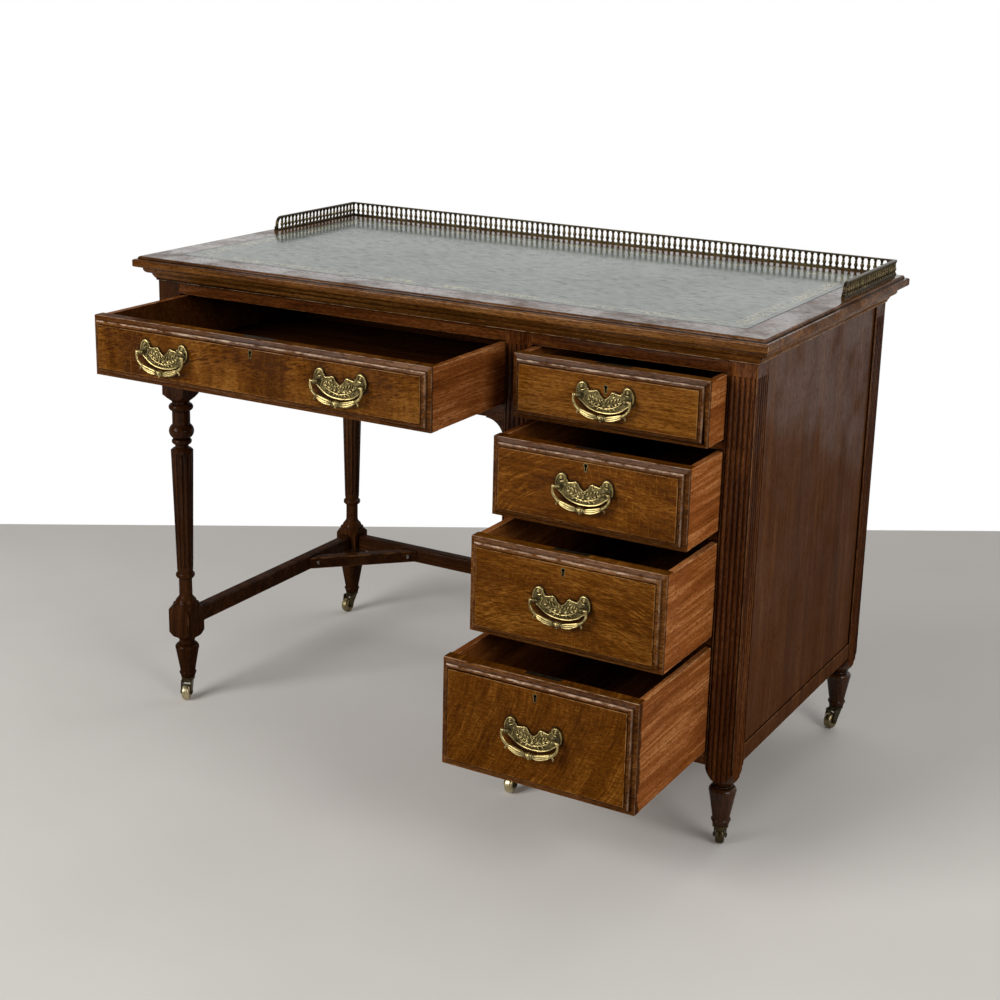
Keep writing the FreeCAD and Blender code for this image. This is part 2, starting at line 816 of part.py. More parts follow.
# Cast plate: crescent below, a large volute at each end, two small scrolls beside the notch
plate_half = [
    (0.0, -0.8), (4.5, 1.6), (8.0, 5.0), (9.8, 8.6), (13.0, 10.2), (18.0, 8.8), (23.5, 8.2), (26.6, 10.6),
    (27.2, 15.0), (30.0, 18.6), (34.0, 19.4), (38.8, 17.2), (42.2, 12.4), (43.5, 6.0), (42.6, -1.2),
    (38.4, -6.0), (33.2, -10.0), (25.0, -16.0), (12.5, -20.4), (0.0, -21.6),
]
relief = [
    (0.0, -10.5, 5.2), (8.5, -9.6, 4.6), (16.5, -7.6, 4.4), (24.0, -3.8, 4.0), (5.0, -15.4, 3.6),
    (14.0, -13.6, 3.4), (22.0, -9.6, 3.2), (13.0, 5.6, 3.2), (34.6, 12.2, 5.6), (29.6, 2.6, 3.4),
]


def handle_plate(x, y, z):
    half_points = [vec(x + a, y, z + b) for a, b in plate_half]
    other = [vec(x - a, y, z + b) for a, b in reversed(plate_half)]
    right = Part.BSplineCurve()
    right.interpolate(half_points)
    left = Part.BSplineCurve()
    left.interpolate(other)
    face = Part.Face(Part.Wire([right.toShape(), left.toShape()]))
    plate = face.extrude(vec(0, -plate_thick, 0))
    lumps = []
    for a, b, r in relief:
        for side in ((1, -1) if a else (1,)):
            lumps.append(Part.makeSphere(r, vec(x + side * a, y + r * 0.62 - plate_thick, z + b)))
    space = box(x - 60, x + 60, y - 20, y, z - 40, z + 40)
    lumps = [lump.common(space) for lump in lumps]
    plate = plate.fuse(lumps)
    holes = []
    for side in (-1, 1):
        holes.append(rod(vec(x + side * pivot_half, y - 20, z + pivot_up),
                         vec(x + side * pivot_half, y, z + pivot_up), post_flange))
        holes.append(rod(vec(x + side * pivot_half, y - plate_thick, z + pivot_up),
                         vec(x + side * pivot_half, y + 1, z + pivot_up), post_shank + shank_room))
    trim = [h.common(box(x - 60, x + 60, y - 20, y - plate_thick, z - 40, z + 40)) for h in holes[0::2]]
    return plate.cut(trim + holes[1::2])


def handle_post(x, y, z, thick):
    # Ball-ended post on a flange, with a threaded shank through the drawer front.
    face = y - plate_thick
    pivot_y = y - pivot_out
    solid = rod(vec(x, face, z), vec(x, face - post_flange_thick, z), post_flange)
    solid = solid.fuse([
        rod(vec(x, face, z), vec(x, pivot_y, z), post_neck),
        Part.makeSphere(post_ball, vec(x, pivot_y, z)),
        rod(vec(x, face, z), vec(x, y + thick + nut_thick + 1.0, z), post_shank),
    ])
    bore = rod(vec(x - 10, pivot_y, z), vec(x + 10, pivot_y, z), bail_pin + bail_pin_room)
    solid = solid.cut(bore)
    nut = rod(vec(x, y + thick, z), vec(x, y + thick + nut_thick, z), nut_radius)
    nut = nut.cut(rod(vec(x, y + thick - 1, z), vec(x, y + thick + nut_thick + 1, z), post_shank))
    return [solid, nut]


bail_stations = [
    (bail_arm_half, pivot_up, 1.7), (42.4, -4.0, 1.9), (40.6, -10.2, 2.0), (36.4, -15.0, 2.2), (31.6, -18.4, 2.3),
    (26.0, -21.0, 2.9), (19.4, -23.4, 3.4), (12.6, -24.8, 3.0), (6.6, -25.4, 2.0), (0.0, -bail_drop, 2.2),
]


def bail_half(x, y, z, side):
    # One arm of the loop, from its pivot down to the middle, swelling into a leaf on the way.
    points = [vec(x + side * a, y, z + b) for a, b, r in bail_stations]
    rings = []
    for i, (a, b, r) in enumerate(bail_stations):
        way = points[min(i + 1, len(points) - 1)].sub(points[max(i - 1, 0)])
        ring = Part.Wire(Part.Circle(vec(0, 0, 0), vec(0, 0, 1), r).toShape())
        level = 90.0 * side if i == len(points) - 1 else math.degrees(math.atan2(-way.x, -way.z))
        ring.rotate(vec(0, 0, 0), vec(0, 1, 0), level)
        ring.translate(points[i])
        rings.append(ring)
    return Part.makeLoft(rings, True, False)


def bail(x, y, z):
    # Swan-shaped loop of round section with a knob at its middle and a pin at each end.
    pivot_y = y - pivot_out
    whole = bail_half(x, pivot_y, z, -1)
    whole = whole.fuse(Part.makeSphere(bail_knob, vec(x, pivot_y, z - bail_drop)))
    whole = whole.fuse(bail_half(x, pivot_y, z, 1))
    for side in (-1, 1):
        shoulder = vec(x + side * bail_arm_half, pivot_y, z + pivot_up)
        pin_end = vec(x + side * (pivot_half - post_ball + 0.6), pivot_y, z + pivot_up)
        whole = whole.fuse(Part.makeSphere(bail_shoulder, shoulder))
        whole = whole.fuse(rod(shoulder, pin_end, bail_pin))
    return whole


def dovetails(x0, x1, y0, y1, z0, z1):
    # Tails at the front end of a drawer side, wider at the tip than at the shoulder.
    count = max(2, int(round((z1 - z0) / dovetail_pitch)))
    pitch = (z1 - z0) / count
    spread = (y1 - y0) * dovetail_slope
    tails = []
    for i in range(count):
        middle = z0 + (i + 0.5) * pitch
        root = pitch * 0.30
        tails.append(prism([(x0, y1, middle - root), (x0, y0, middle - root - spread),
                            (x0, y0, middle + root + spread), (x0, y1, middle + root)], vec(x1 - x0, 0, 0)))
    return tails


def build_drawer(name, handles):
    x0, x1, low, high = openings[name]
    face = front_face - drawer_open[name]
    base = face + field_proud
    inner = base + front_thick
    end = face + drawer_depth
    middle = (x0 + x1) / 2
    rim = front_moulding_wide
    front = box(x0, x1, base, inner, low, high)
    front = front.fuse(box(x0 + rim, x1 - rim, face, base, low + rim, high - rim)).removeSplitter()
    floor = box(x0 + side_thick - bottom_groove, x1 - side_thick + bottom_groove, inner - bottom_groove, end,
                low + bottom_rise, low + bottom_rise + bottom_thick)
    back = box(x0 + side_thick - back_housing, x1 - side_thick + back_housing,
               end - back_inset - back_thick, end - back_inset,
               low + bottom_rise + bottom_thick, high - back_drop)
    sides = []
    all_tails = []
    for a, b in ((x0, x0 + side_thick), (x1 - side_thick, x1)):
        tails = dovetails(a, b, base + dovetail_lap, inner, low, high - side_drop)
        all_tails += tails
        board = box(a, b, inner, end, low, high - side_drop).fuse(tails).removeSplitter()
        sides.append(board.cut([floor, back]))
    lock = box(middle - lock_wide / 2, middle + lock_wide / 2, inner - lock_deep, inner, high - lock_tall, high)
    key_z = high - key_drop[name]
    key = keyhole(middle, face - 1, inner - lock_deep + key_pocket, key_z, 0.0)
    thread_body = keyhole(middle, face, face + thread_deep, key_z, thread_wide)
    thread = thread_body.cut(key)
    front = front.cut(all_tails + [floor, lock, key, thread_body])
    lock = lock.cut(key)
    fittings = [lock, thread]
    handle_z = (low + high) / 2 + handle_rise[name]
    for label, offset in handles:
        x = middle + offset
        fittings.append(handle_plate(x, face, handle_z))
        for side in (-1, 1):
            fittings += handle_post(x + side * pivot_half, face, handle_z + pivot_up, inner - face)
            front = front.cut(rod(vec(x + side * pivot_half, face - 1, handle_z + pivot_up),
                                  vec(x + side * pivot_half, inner + 1, handle_z + pivot_up),
                                  post_shank + shank_room))
        save(name + "_drawer_" + label + "bail", [bail(x, face, handle_z)])
    wide = x1 - x0
    tall = high - low
    out = vec(0, -1, 0)
    frame = [
        strip(front_profile, vec(x0, base, high), vec(1, 0, 0), vec(0, 0, -1), out, wide, True, True),
        strip(front_profile, vec(x0, base, low), vec(1, 0, 0), vec(0, 0, 1), out, wide, True, True),
        strip(front_profile, vec(x0, base, low), vec(0, 0, 1), vec(1, 0, 0), out, tall, True, True),
        strip(front_profile, vec(x1, base, low), vec(0, 0, 1), vec(-1, 0, 0), out, tall, True, True),
    ]
    save(name + "_drawer_front", [front])
    save(name + "_drawer_moulding", frame)
    save(name + "_drawer_box", sides + [back, floor])
    save(name + "_drawer_fittings", fittings)


build_drawer("long", [("left_", -handle_spacing / 2), ("right_", handle_spacing / 2)])
for name in drawer_names:
    build_drawer(name, [("", 0.0)])

# Castors

castor_places = {
    "front_left": (leg_column, front_row),
    "back_left": (leg_column, back_row),
    "pedestal_front_left": (stile_column, front_row),
    "pedestal_back_left": (stile_column, back_row),
    "front_right": (right_column, front_row),
    "back_right": (right_column, back_row),
}
socket_low = foot_bottom - socket_thick
crown_top = socket_low - thrust_gap
crown_low = crown_top - crown_thick
cheek_in = wheel_wide / 2 + cheek_gap
cheek_out = cheek_in + cheek_thick

sockets = []
for name, (x, y) in castor_places.items():
    socket = Part.makeCylinder(socket_radius, socket_thick, vec(x, y, socket_low))
    socket = socket.fuse(Part.makeCylinder(stem_radius, stem_long, vec(x, y, foot_bottom))).removeSplitter()
    bore = Part.makeCylinder(pintle_radius + pintle_room, pintle_long + 0.4, vec(x, y, socket_low))
    sockets.append(socket.cut(bore))
save("castor_sockets", sockets)


def place(solid, name):
    x, y = castor_places[name]
    solid.rotate(vec(0, 0, 0), vec(0, 0, 1), castor_turn[name])
    solid.translate(vec(x, y, 0))
    return solid


def castor_fork():
    # Crown on a pintle, two cheeks reaching back to the axle; drawn trailing along X.
    pintle = Part.makeCylinder(pintle_radius, pintle_long, vec(0, 0, socket_low - thrust_gap - 1.0))
    crown = Part.makeCylinder(8.8, crown_thick, vec(0, 0, crown_low))
    bridge = box(0, castor_trail - 2.0, -cheek_out, cheek_out, crown_low, crown_top)
    fork = crown.fuse([pintle, bridge])
    for y in (-cheek_out, cheek_in):
        eye = Part.makeCylinder(4.6, cheek_thick, vec(castor_trail, y, wheel_radius), vec(0, 1, 0))
        web = prism([(-5.0, y, crown_top), (castor_trail + 1.5, y, crown_top),
                     (castor_trail + 4.4, y, wheel_radius + 1.2), (castor_trail - 4.0, y, wheel_radius - 2.2)],
                    vec(0, cheek_thick, 0))
        fork = fork.fuse([eye, web])
    hole = rod(vec(castor_trail, -20, wheel_radius), vec(castor_trail, 20, wheel_radius), axle_radius)
    fork = fork.cut(hole).removeSplitter()
    axle = rod(vec(castor_trail, -cheek_out, wheel_radius), vec(castor_trail, cheek_out, wheel_radius),
               axle_radius)
    for a, b in ((-cheek_out - 1.2, -cheek_out), (cheek_out, cheek_out + 1.2)):
        axle = axle.fuse(rod(vec(castor_trail, a, wheel_radius), vec(castor_trail, b, wheel_radius), 2.6))
    return [fork, axle.removeSplitter()]


def castor_wheel():
    side = wheel_wide / 2
    profile = [
        (axle_radius + axle_room, -side),
        (wheel_radius - wheel_round, -side),
        (wheel_radius, -side + wheel_round, wheel_radius - wheel_round * 0.29, -side + wheel_round * 0.29),
        (wheel_radius, side - wheel_round),
        (wheel_radius - wheel_round, side, wheel_radius - wheel_round * 0.29, side - wheel_round * 0.29),
        (axle_radius + axle_room, side),
        (axle_radius + axle_room, -side),
    ]
    face = Part.Face(Part.Wire(outline(profile)))
    solid = face.revolve(vec(0, 0, 0), vec(0, 0, 1), 360)
    solid.rotate(vec(0, 0, 0), vec(1, 0, 0), 90)
    solid.translate(vec(castor_trail, 0, wheel_radius))
    return solid


for name in castor_places:
    save("castor_fork_" + name, [place(piece, name) for piece in castor_fork()])
    save("castor_wheel_" + name, [place(castor_wheel(), name)])

print(len(saved), "nodes saved")
for name, count in saved:
    print(name, count)
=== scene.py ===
# %% [markdown]
# # A writing desk in oak, leather and brass
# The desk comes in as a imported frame: every board, moulding, handle and castor sits where the joinery
# puts it, and every drawer, bail and wheel already moves. This lesson gives those pieces their surfaces:
# softened arrises, worn polish, oak grain that follows each board, glazed leather and old brass.

# %% Load the frame
import json
import math

import bmesh
import bpy
from mathutils import Matrix, Vector


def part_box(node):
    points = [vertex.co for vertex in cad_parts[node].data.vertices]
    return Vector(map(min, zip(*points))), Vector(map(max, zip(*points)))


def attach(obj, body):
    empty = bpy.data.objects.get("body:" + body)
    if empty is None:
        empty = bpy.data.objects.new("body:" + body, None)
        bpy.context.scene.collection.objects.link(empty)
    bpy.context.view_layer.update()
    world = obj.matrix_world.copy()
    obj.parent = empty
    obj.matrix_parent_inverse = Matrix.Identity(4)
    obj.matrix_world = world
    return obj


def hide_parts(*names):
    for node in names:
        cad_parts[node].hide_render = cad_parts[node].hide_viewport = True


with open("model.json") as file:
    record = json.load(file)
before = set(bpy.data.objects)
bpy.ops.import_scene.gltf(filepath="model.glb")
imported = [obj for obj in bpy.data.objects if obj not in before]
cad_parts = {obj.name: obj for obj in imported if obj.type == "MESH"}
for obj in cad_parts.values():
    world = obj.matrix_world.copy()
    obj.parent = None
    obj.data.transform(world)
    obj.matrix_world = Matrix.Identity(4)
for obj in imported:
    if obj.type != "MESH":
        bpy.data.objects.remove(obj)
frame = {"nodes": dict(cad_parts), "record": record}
nodes = frame["nodes"]
body_of_node = {node: body for body, held in frame["record"]["behaviour"]["bodies"].items() for node in held}
slot_of_node = {row["node"]: row["material_slot"] for row in frame["record"]["subparts"]}
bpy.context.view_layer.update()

# %% [markdown]
# ## Shader sums
# A finish is a recipe: stretch the coordinates, take some noise, mix two browns. Written straight in nodes
# that is long to read, so three small classes carry it. `Reading` is one socket and turns ordinary arithmetic
# into Math nodes. `Recipe` is one node tree, and its `node` method adds any other node. `Finish` is a material.

# %% Readings


class Reading:
    def __init__(self, finish, socket):
        self.finish = finish
        self.socket = socket

    def sum_with(self, operation, first, second):
        return self.finish.node("ShaderNodeMath", {"operation": operation}, {0: first, 1: second})

    def __add__(self, other):
        return self.sum_with("ADD", self, other)

    def __radd__(self, other):
        return self.sum_with("ADD", other, self)

    def __sub__(self, other):
        return self.sum_with("SUBTRACT", self, other)

    def __rsub__(self, other):
        return self.sum_with("SUBTRACT", other, self)

    def __mul__(self, other):
        return self.sum_with("MULTIPLY", self, other)

    def __rmul__(self, other):
        return self.sum_with("MULTIPLY", other, self)

    def __truediv__(self, other):
        return self.sum_with("DIVIDE", self, other)

    def __rtruediv__(self, other):
        return self.sum_with("DIVIDE", other, self)

    def least(self, other):
        return self.sum_with("MINIMUM", self, other)

    def most(self, other):
        return self.sum_with("MAXIMUM", self, other)

    def size(self):
        return self.sum_with("ABSOLUTE", self, 0.0)

    def between(self, low, high):
        # 0 at low, 1 at high, straight in between; low may be the larger of the two.
        return self.finish.node("ShaderNodeMapRange", {"clamp": True},
                                {"Value": self, "From Min": low, "From Max": high})


# %% Recipes
BOARD_STEP = (3.1, 5.3, 7.7)


class Recipe:
    def __init__(self, tree):
        self.tree = tree

    def node(self, kind, settings=None, inputs=None, output=0):
        made = self.tree.nodes.new(kind)
        for name, value in (settings or {}).items():
            if name == "stops":
                self.set_stops(made.color_ramp, value)
            else:
                setattr(made, name, value)
        for name, value in (inputs or {}).items():
            self.feed(made.inputs[name], value)
        return Reading(self, made.outputs[output])

    def set_stops(self, ramp, stops):
        ramp.elements[0].position = stops[0][0]
        ramp.elements[1].position = stops[-1][0]
        for place, _ in stops[1:-1]:
            ramp.elements.new(place)
        for element, (_, colour) in zip(ramp.elements, stops):
            element.color = (*colour, 1.0)

    def feed(self, socket, value):
        if isinstance(value, Reading):
            self.tree.links.new(value.socket, socket)
        elif socket.type == "RGBA" and len(value) == 3:
            socket.default_value = (*value, 1.0)
        else:
            socket.default_value = value

    def here(self):
        return self.node("ShaderNodeTexCoord", output="Object")

    def place(self, scale=(1.0, 1.0, 1.0), shift=(0.0, 0.0, 0.0), turn=(0.0, 0.0, 0.0), start=None):
        return self.node("ShaderNodeMapping", {}, {"Vector": start or self.here(), "Location": shift,
                                                   "Rotation": turn, "Scale": scale})

    def own_place(self):
        # Object coordinates moved on by each board's own number, so no two boards share their grain.
        number = self.mark("board")
        return self.shifted(self.here(), self.point(*(number * step for step in BOARD_STEP)), 1.0)

    def noise(self, where, detail=4.0, rough=0.55, output="Fac"):
        # The place carries the scale, so the noise has none of its own.
        return self.node("ShaderNodeTexNoise", {}, {"Vector": where, "Scale": 1.0, "Detail": detail,
                                                    "Roughness": rough}, output)

    def point(self, x, y, z=0.0):
        return self.node("ShaderNodeCombineXYZ", {}, {"X": x, "Y": y, "Z": z})

    def axis(self, where, name):
        return self.node("ShaderNodeSeparateXYZ", {}, {"Vector": where}, name)

    def shifted(self, where, by, amount):
        moved = self.node("ShaderNodeVectorMath", {"operation": "SCALE"}, {0: by, "Scale": amount})
        return self.node("ShaderNodeVectorMath", {"operation": "ADD"}, {0: where, 1: moved})

    def mix(self, share, first, second):
        return self.node("ShaderNodeMix", {"data_type": "RGBA"}, {0: share, 6: first, 7: second}, 2)

    def tint(self, value, stops):
        return self.node("ShaderNodeValToRGB", {"stops": stops}, {"Fac": value})

    def mark(self, name):
        return self.node("ShaderNodeAttribute", {"attribute_name": name}, {}, "Fac")

    def bump(self, height, strength, distance):
        return self.node("ShaderNodeBump", {}, {"Height": height, "Strength": strength, "Distance": distance})

    def hollows(self, reach, local):
        # How much of its surroundings a point can see: 1 in the open, less in a groove.
        return self.node("ShaderNodeAmbientOcclusion", {"samples": 8, "only_local": local},
                         {"Distance": reach}, "AO")


# %% Finishes


class Finish(Recipe):
    def __init__(self, name):
        self.material = bpy.data.materials.new(name)
        self.material.use_nodes = True
        super().__init__(self.material.node_tree)
        self.shader = self.tree.nodes["Principled BSDF"]

    def surface(self, **sockets):
        for name, value in sockets.items():
            self.feed(self.shader.inputs[name.replace("_", " ")], value)
        return self.material


# %% [markdown]
# ## Oak
# Oak shows three things at once: broad bands of colour along the board, short dark pores that follow the
# grain, and pale rays that cross it where the board was cut on the quarter. Each is a noise stretched along
# the board, so one recipe serves every piece once it knows which way the grain runs. Under the polish the
# pores stay open, which the bump and the roughness both show. Worn arrises carry a mark of their own, which
# on the mouldings lays on a painted highlight. Grooves are painted dark, old wax and painted shade together,
# and towards the floor the wood is darker and its polish weaker.

# %% Wear and painted highlights, stain, dirt and painted shade
WEAR_AND_HIGHLIGHT_SHARE, STAIN_SHARE = 0.7, 0.85
GROOVE_SHARE, REED_SHARE, PATINA_AND_SHADOW_SHARE = 0.92, 0.9, 0.8
STAIN = (0.022, 0.008, 0.003)
# A painted shade for grooves and hollows, mixed with the black of old wax.
GROOVE_DIRT_AND_SHADE = (0.006, 0.0022, 0.0010)


def rub_and_highlight(wood, colour, worn):
    # Worn arrises take the worn colour; on the mouldings the same mark paints a highlight.
    patchy = wood.noise(wood.place((60.0, 60.0, 60.0))).between(0.36, 0.62)
    return wood.mix(wood.mark("wear") * patchy * WEAR_AND_HIGHLIGHT_SHARE, colour, worn)


def stained_end(wood, colour, face, reach):
    # The stain of a drawer front has run over its edge, as far as its reach, and ends in a ragged line.
    ragged = wood.noise(wood.place((30.0, 4.0, 55.0)), 4.0, 0.6) * 2.0
    run = ((wood.axis(wood.place(), "Y") - face) / reach).between(ragged, ragged - 0.3)
    return wood.mix(run * STAIN_SHARE, colour, STAIN)


def dirt_and_painted_shade(wood, colour, groove, patina):
    # Grooves and the valleys between reeds are painted black, old wax and painted shade together; a broad
    # painted shadow, with some patina, lies beside anything that stands out, such as a raised moulding or a
    # pull.
    if groove:
        deep = wood.hollows(groove, False).between(0.96, 0.62) * GROOVE_SHARE
        colour = wood.mix(deep.most(wood.mark("groove") * REED_SHARE), colour, GROOVE_DIRT_AND_SHADE)
    if patina:
        shade = wood.hollows(patina, False).between(0.97, 0.68) * PATINA_AND_SHADOW_SHARE
        colour = wood.mix(shade, colour, GROOVE_DIRT_AND_SHADE)
    return colour


# %% Oak recipe
TONE_STOPS = (0.36, 0.50, 0.64)
BAND, STREAK, LINE = 0.40, 0.30, 0.30
BOARD_SPREAD = 0.08
PORE_SHARE = 0.75
LOW_SHADE, LOW_POLISH = 0.55, 0.15


def stretch(along, long_scale, cross_scale):
    return tuple(long_scale if axis == along else cross_scale for axis in "XYZ")


def oak(name, along, dark, middle, light, worn, ray=0.2, fleck=0.3, polish=0.2, gloss=0.42, blur=0.14,
        groove=0.0, patina=0.0, figure=None, stain=None):
    wood = Finish(name + "_" + along)
    own = wood.own_place()

    def still(long_scale, cross_scale):
        return wood.place(stretch(along, long_scale, cross_scale), start=own)

    def wandering(long_scale, cross_scale, drift, detail):
        return wood.noise(wood.shifted(still(long_scale, cross_scale), wander, drift), detail, 0.6)

    wander = wood.noise(still(3.0, 9.0), 2.0, output="Color")
    lines = wandering(9.0, 330.0, 2.5, 3.0)
    tone = wandering(1.6, 26.0, 1.4, 5.0) * BAND + wandering(5.0, 110.0, 2.0, 3.0) * STREAK + lines * LINE
    if figure:
        tone = figure(wood, own, wander, tone)
    flecks = wood.noise(still(130.0, 560.0), 2.0, 0.6)
    tone = tone + (flecks - 0.5) * fleck + (wood.mark("board") - 0.5) * BOARD_SPREAD
    colour = wood.tint(tone, list(zip(TONE_STOPS, (dark, middle, light))))
    open_pore = wood.noise(still(105.0, 780.0), 2.0, 0.5).between(0.55, 0.64)
    colour = wood.mix(open_pore * PORE_SHARE, colour, dark)
    if ray:
        patch = wood.noise(wood.place((7.0, 7.0, 7.0), start=own), 2.0).between(0.40, 0.62)
        rays = wandering(420.0, 95.0, 3.0, 2.0).between(0.57, 0.70)
        colour = wood.mix(rays * patch * ray, colour, light)
    colour = rub_and_highlight(wood, colour, worn)
    if stain:
        colour = stained_end(wood, colour, *stain)
    colour = dirt_and_painted_shade(wood, colour, groove, patina)
    height_up = wood.axis(wood.place(), "Z")
    colour = wood.mix(height_up.between(0.16, 0.0) * LOW_SHADE, colour, dark)
    cloud = wood.noise(wood.place((16.0, 16.0, 16.0), start=own)).between(0.15, 0.6)
    kept = height_up.between(0.05, 0.80) * (1.0 - LOW_POLISH) + LOW_POLISH
    return wood.surface(Base_Color=colour, Roughness=gloss + 0.14 * cloud + 0.15 * open_pore,
                        Coat_Weight=polish * (1.0 - 0.6 * open_pore) * cloud * kept,
                        Coat_Roughness=blur, Specular_IOR_Level=0.0,
                        Normal=wood.bump(lines * 0.35 - open_pore * 0.9, 0.28, 0.0006))


def oak_set(name, **words):
    # The three directions a board's grain can take, in the order X, Y, Z.
    return [oak(name, along, **words) for along in "XYZ"]


# %% Oak of the carcass
carcass_oak = oak_set("carcass_oak", dark=(0.026, 0.0072, 0.0015), middle=(0.064, 0.0205, 0.0042),
                      light=(0.125, 0.047, 0.0120), worn=(0.24, 0.110, 0.036),
                      fleck=0.2, polish=0.32, groove=0.005)
top_oak = oak_set("top_oak", dark=(0.036, 0.0115, 0.0020), middle=(0.104, 0.037, 0.0064),
                  light=(0.220, 0.094, 0.0220), worn=(0.60, 0.40, 0.23), polish=0.30, groove=0.005)
writing_oak = oak("writing_oak", "X", dark=(0.034, 0.0120, 0.0040), middle=(0.086, 0.036, 0.0130),
                  light=(0.155, 0.074, 0.0290), worn=(0.50, 0.36, 0.24), ray=0.0, polish=1.2)
post_oak = oak_set("post_oak", dark=(0.024, 0.0060, 0.0013), middle=(0.074, 0.0212, 0.0044),
                   light=(0.150, 0.051, 0.0120), worn=(0.26, 0.115, 0.036),
                   ray=0.1, polish=0.30, groove=0.008)
foot_oak = oak("foot_oak", "Z", dark=(0.016, 0.0050, 0.0014), middle=(0.044, 0.0160, 0.0052),
               light=(0.085, 0.034, 0.0120), worn=(0.15, 0.070, 0.026),
               ray=0.0, polish=2.4, blur=0.05, groove=0.004)
panel_oak = oak_set("panel_oak", dark=(0.046, 0.0150, 0.0042), middle=(0.078, 0.0265, 0.0078),
                    light=(0.118, 0.046, 0.0150), worn=(0.24, 0.110, 0.036),
                    ray=0.0, fleck=0.15, polish=0.32, groove=0.005)
dark_oak = oak_set("dark_oak", dark=(0.0105, 0.0033, 0.0010), middle=(0.032, 0.0104, 0.0028),
                   light=(0.066, 0.0230, 0.0062), worn=(0.15, 0.064, 0.021),
                   ray=0.1, fleck=0.15, polish=0.36, gloss=0.34, groove=0.004)
# The worn colour of the mouldings is pale: it is their painted highlight as well as their wear.
bead_oak = oak_set("bead_oak", dark=(0.026, 0.0080, 0.0016), middle=(0.082, 0.0270, 0.0050),
                   light=(0.175, 0.070, 0.0165), worn=(0.66, 0.48, 0.34),
                   ray=0.1, polish=0.14, gloss=0.40, groove=0.004)
inner_oak = oak_set("inner_oak", dark=(0.030, 0.014, 0.006), middle=(0.070, 0.034, 0.014),
                    light=(0.12, 0.062, 0.028), worn=(0.13, 0.07, 0.03), ray=0.0, polish=0.0, gloss=0.62)
print("oak finishes ready")

# %% [markdown]
# ## Figured fronts and drawer sides
# The drawer fronts were cut from showy boards, and no two are alike. The long one is quartered: upright bands
# of colour with patches of slanting dark strokes, and its right end is painted darker, a painted shade against
# the lamp on that side. The top one is plain. The next two carry short pale rays along the arcs where the saw
# went through the growth rings, and on the lowest fine lines lean over as they run down. Each figure is a
# change to the tone that the oak recipe turns into colour, so nothing else has to know about it. The drawer
# sides are redder and hardly polished, and the stain of the front has run over their edge. The ends of a
# front are finished as the sides are, so no joint shows. Inside, the drawer floors are painted nearly black,
# a painted shade, and the walls of the long drawer are painted lighter than the others, a painted light where
# the top keeps them in shade.

# %% Figures
SLANT = 0.22


def ribbon(wood, own, wander, tone):
    upright = wood.noise(wood.shifted(wood.place((24.0, 1.0, 2.2), start=own), wander, 0.9), 5.0, 0.6)
    slanting = wood.place((60.0, 1.0, 330.0), start=wood.place(turn=(0.0, SLANT, 0.0), start=own))
    strokes = wood.noise(slanting, 2.0, 0.5).between(0.50, 0.62)
    patch = wood.noise(wood.place((9.0, 1.0, 16.0), start=own), 2.0).between(0.44, 0.58)
    # The right end is painted darker, a painted shade against the lamp on that side.
    right_end_shade = (wood.axis(wood.place(), "X") + 0.17) * 0.15
    return upright * 0.65 + tone * 0.55 - 0.09 - strokes * patch * 0.17 - right_end_shade


def plain(wood, own, wander, tone):
    return tone * 0.85 + 0.085


def arches(centre, tall):
    def figure(wood, own, wander, tone):
        here = wood.shifted(wood.place(), wander, 0.035)
        side = wood.axis(here, "X") - centre[0]
        up = (wood.axis(here, "Z") - centre[1]) * tall
        ring = wood.node("ShaderNodeMath", {"operation": "SQRT"}, {0: side * side + up * up})
        rays = wood.noise(wood.point(ring * 290.0, side * 32.0), 2.0, 0.5).between(0.50, 0.66)
        patch = wood.noise(wood.place((9.0, 1.0, 13.0), start=own), 2.0).between(0.40, 0.60)
        broad = wood.noise(wood.point(ring * 60.0, side * 5.0), 4.0, 0.6)
        return broad * 0.25 + tone * 0.75 + rays * patch * 0.13 - 0.025
    return figure


def swept(wood, own, wander, tone):
    # Upright lines that lean over to the left as they run down.
    here = wood.shifted(wood.place(), wander, 0.022)
    fall = wood.axis(here, "Z") - 0.31
    across = wood.axis(here, "X") + fall * fall * 3.0
    broad = wood.noise(wood.point(across * 42.0, fall * 5.0), 4.0, 0.6)
    close = wood.noise(wood.point(across * 300.0, fall * 26.0), 2.0)
    return broad * 0.35 + close * 0.35 + tone * 0.30


# %% Fronts, sides and insides
# Each drawer's figure, the shades of its front and of its sides, and how far the stain has run.
DRAWERS = {
    "long": (ribbon, 0.84, 0.80, 0.004),
    "top": (plain, 0.96, 1.0, 0.004),
    "second": (arches((0.35, 0.38), 1.0), 1.06, 1.08, 0.004),
    "third": (arches((0.33, 0.24), 1.2), 0.88, 1.02, 0.003),
    "bottom": (swept, 0.90, 0.92, 0.010),
}
FRONT = dict(dark=(0.048, 0.0132, 0.0012), middle=(0.112, 0.0350, 0.0030), light=(0.225, 0.088, 0.0120),
             worn=(0.36, 0.18, 0.06))
SIDE = dict(dark=(0.105, 0.027, 0.0050), middle=(0.240, 0.073, 0.0160), light=(0.52, 0.225, 0.078),
            worn=(0.62, 0.34, 0.15))
WALL = dict(dark=(0.085, 0.0235, 0.0044), middle=(0.175, 0.0540, 0.0108), light=(0.300, 0.110, 0.0300),
            worn=(0.36, 0.16, 0.06))
# The floor inside a drawer is painted nearly black, a painted shade.
SHADED_FLOOR = dict(dark=(0.020, 0.0054, 0.0009), middle=(0.046, 0.0130, 0.0024), light=(0.084, 0.028, 0.0068),
            worn=(0.10, 0.04, 0.015))
front_oak = {}
drawer_oak = {}


def shaded(share, colours):
    return {name: tuple(share * part for part in colour) for name, colour in colours.items()}


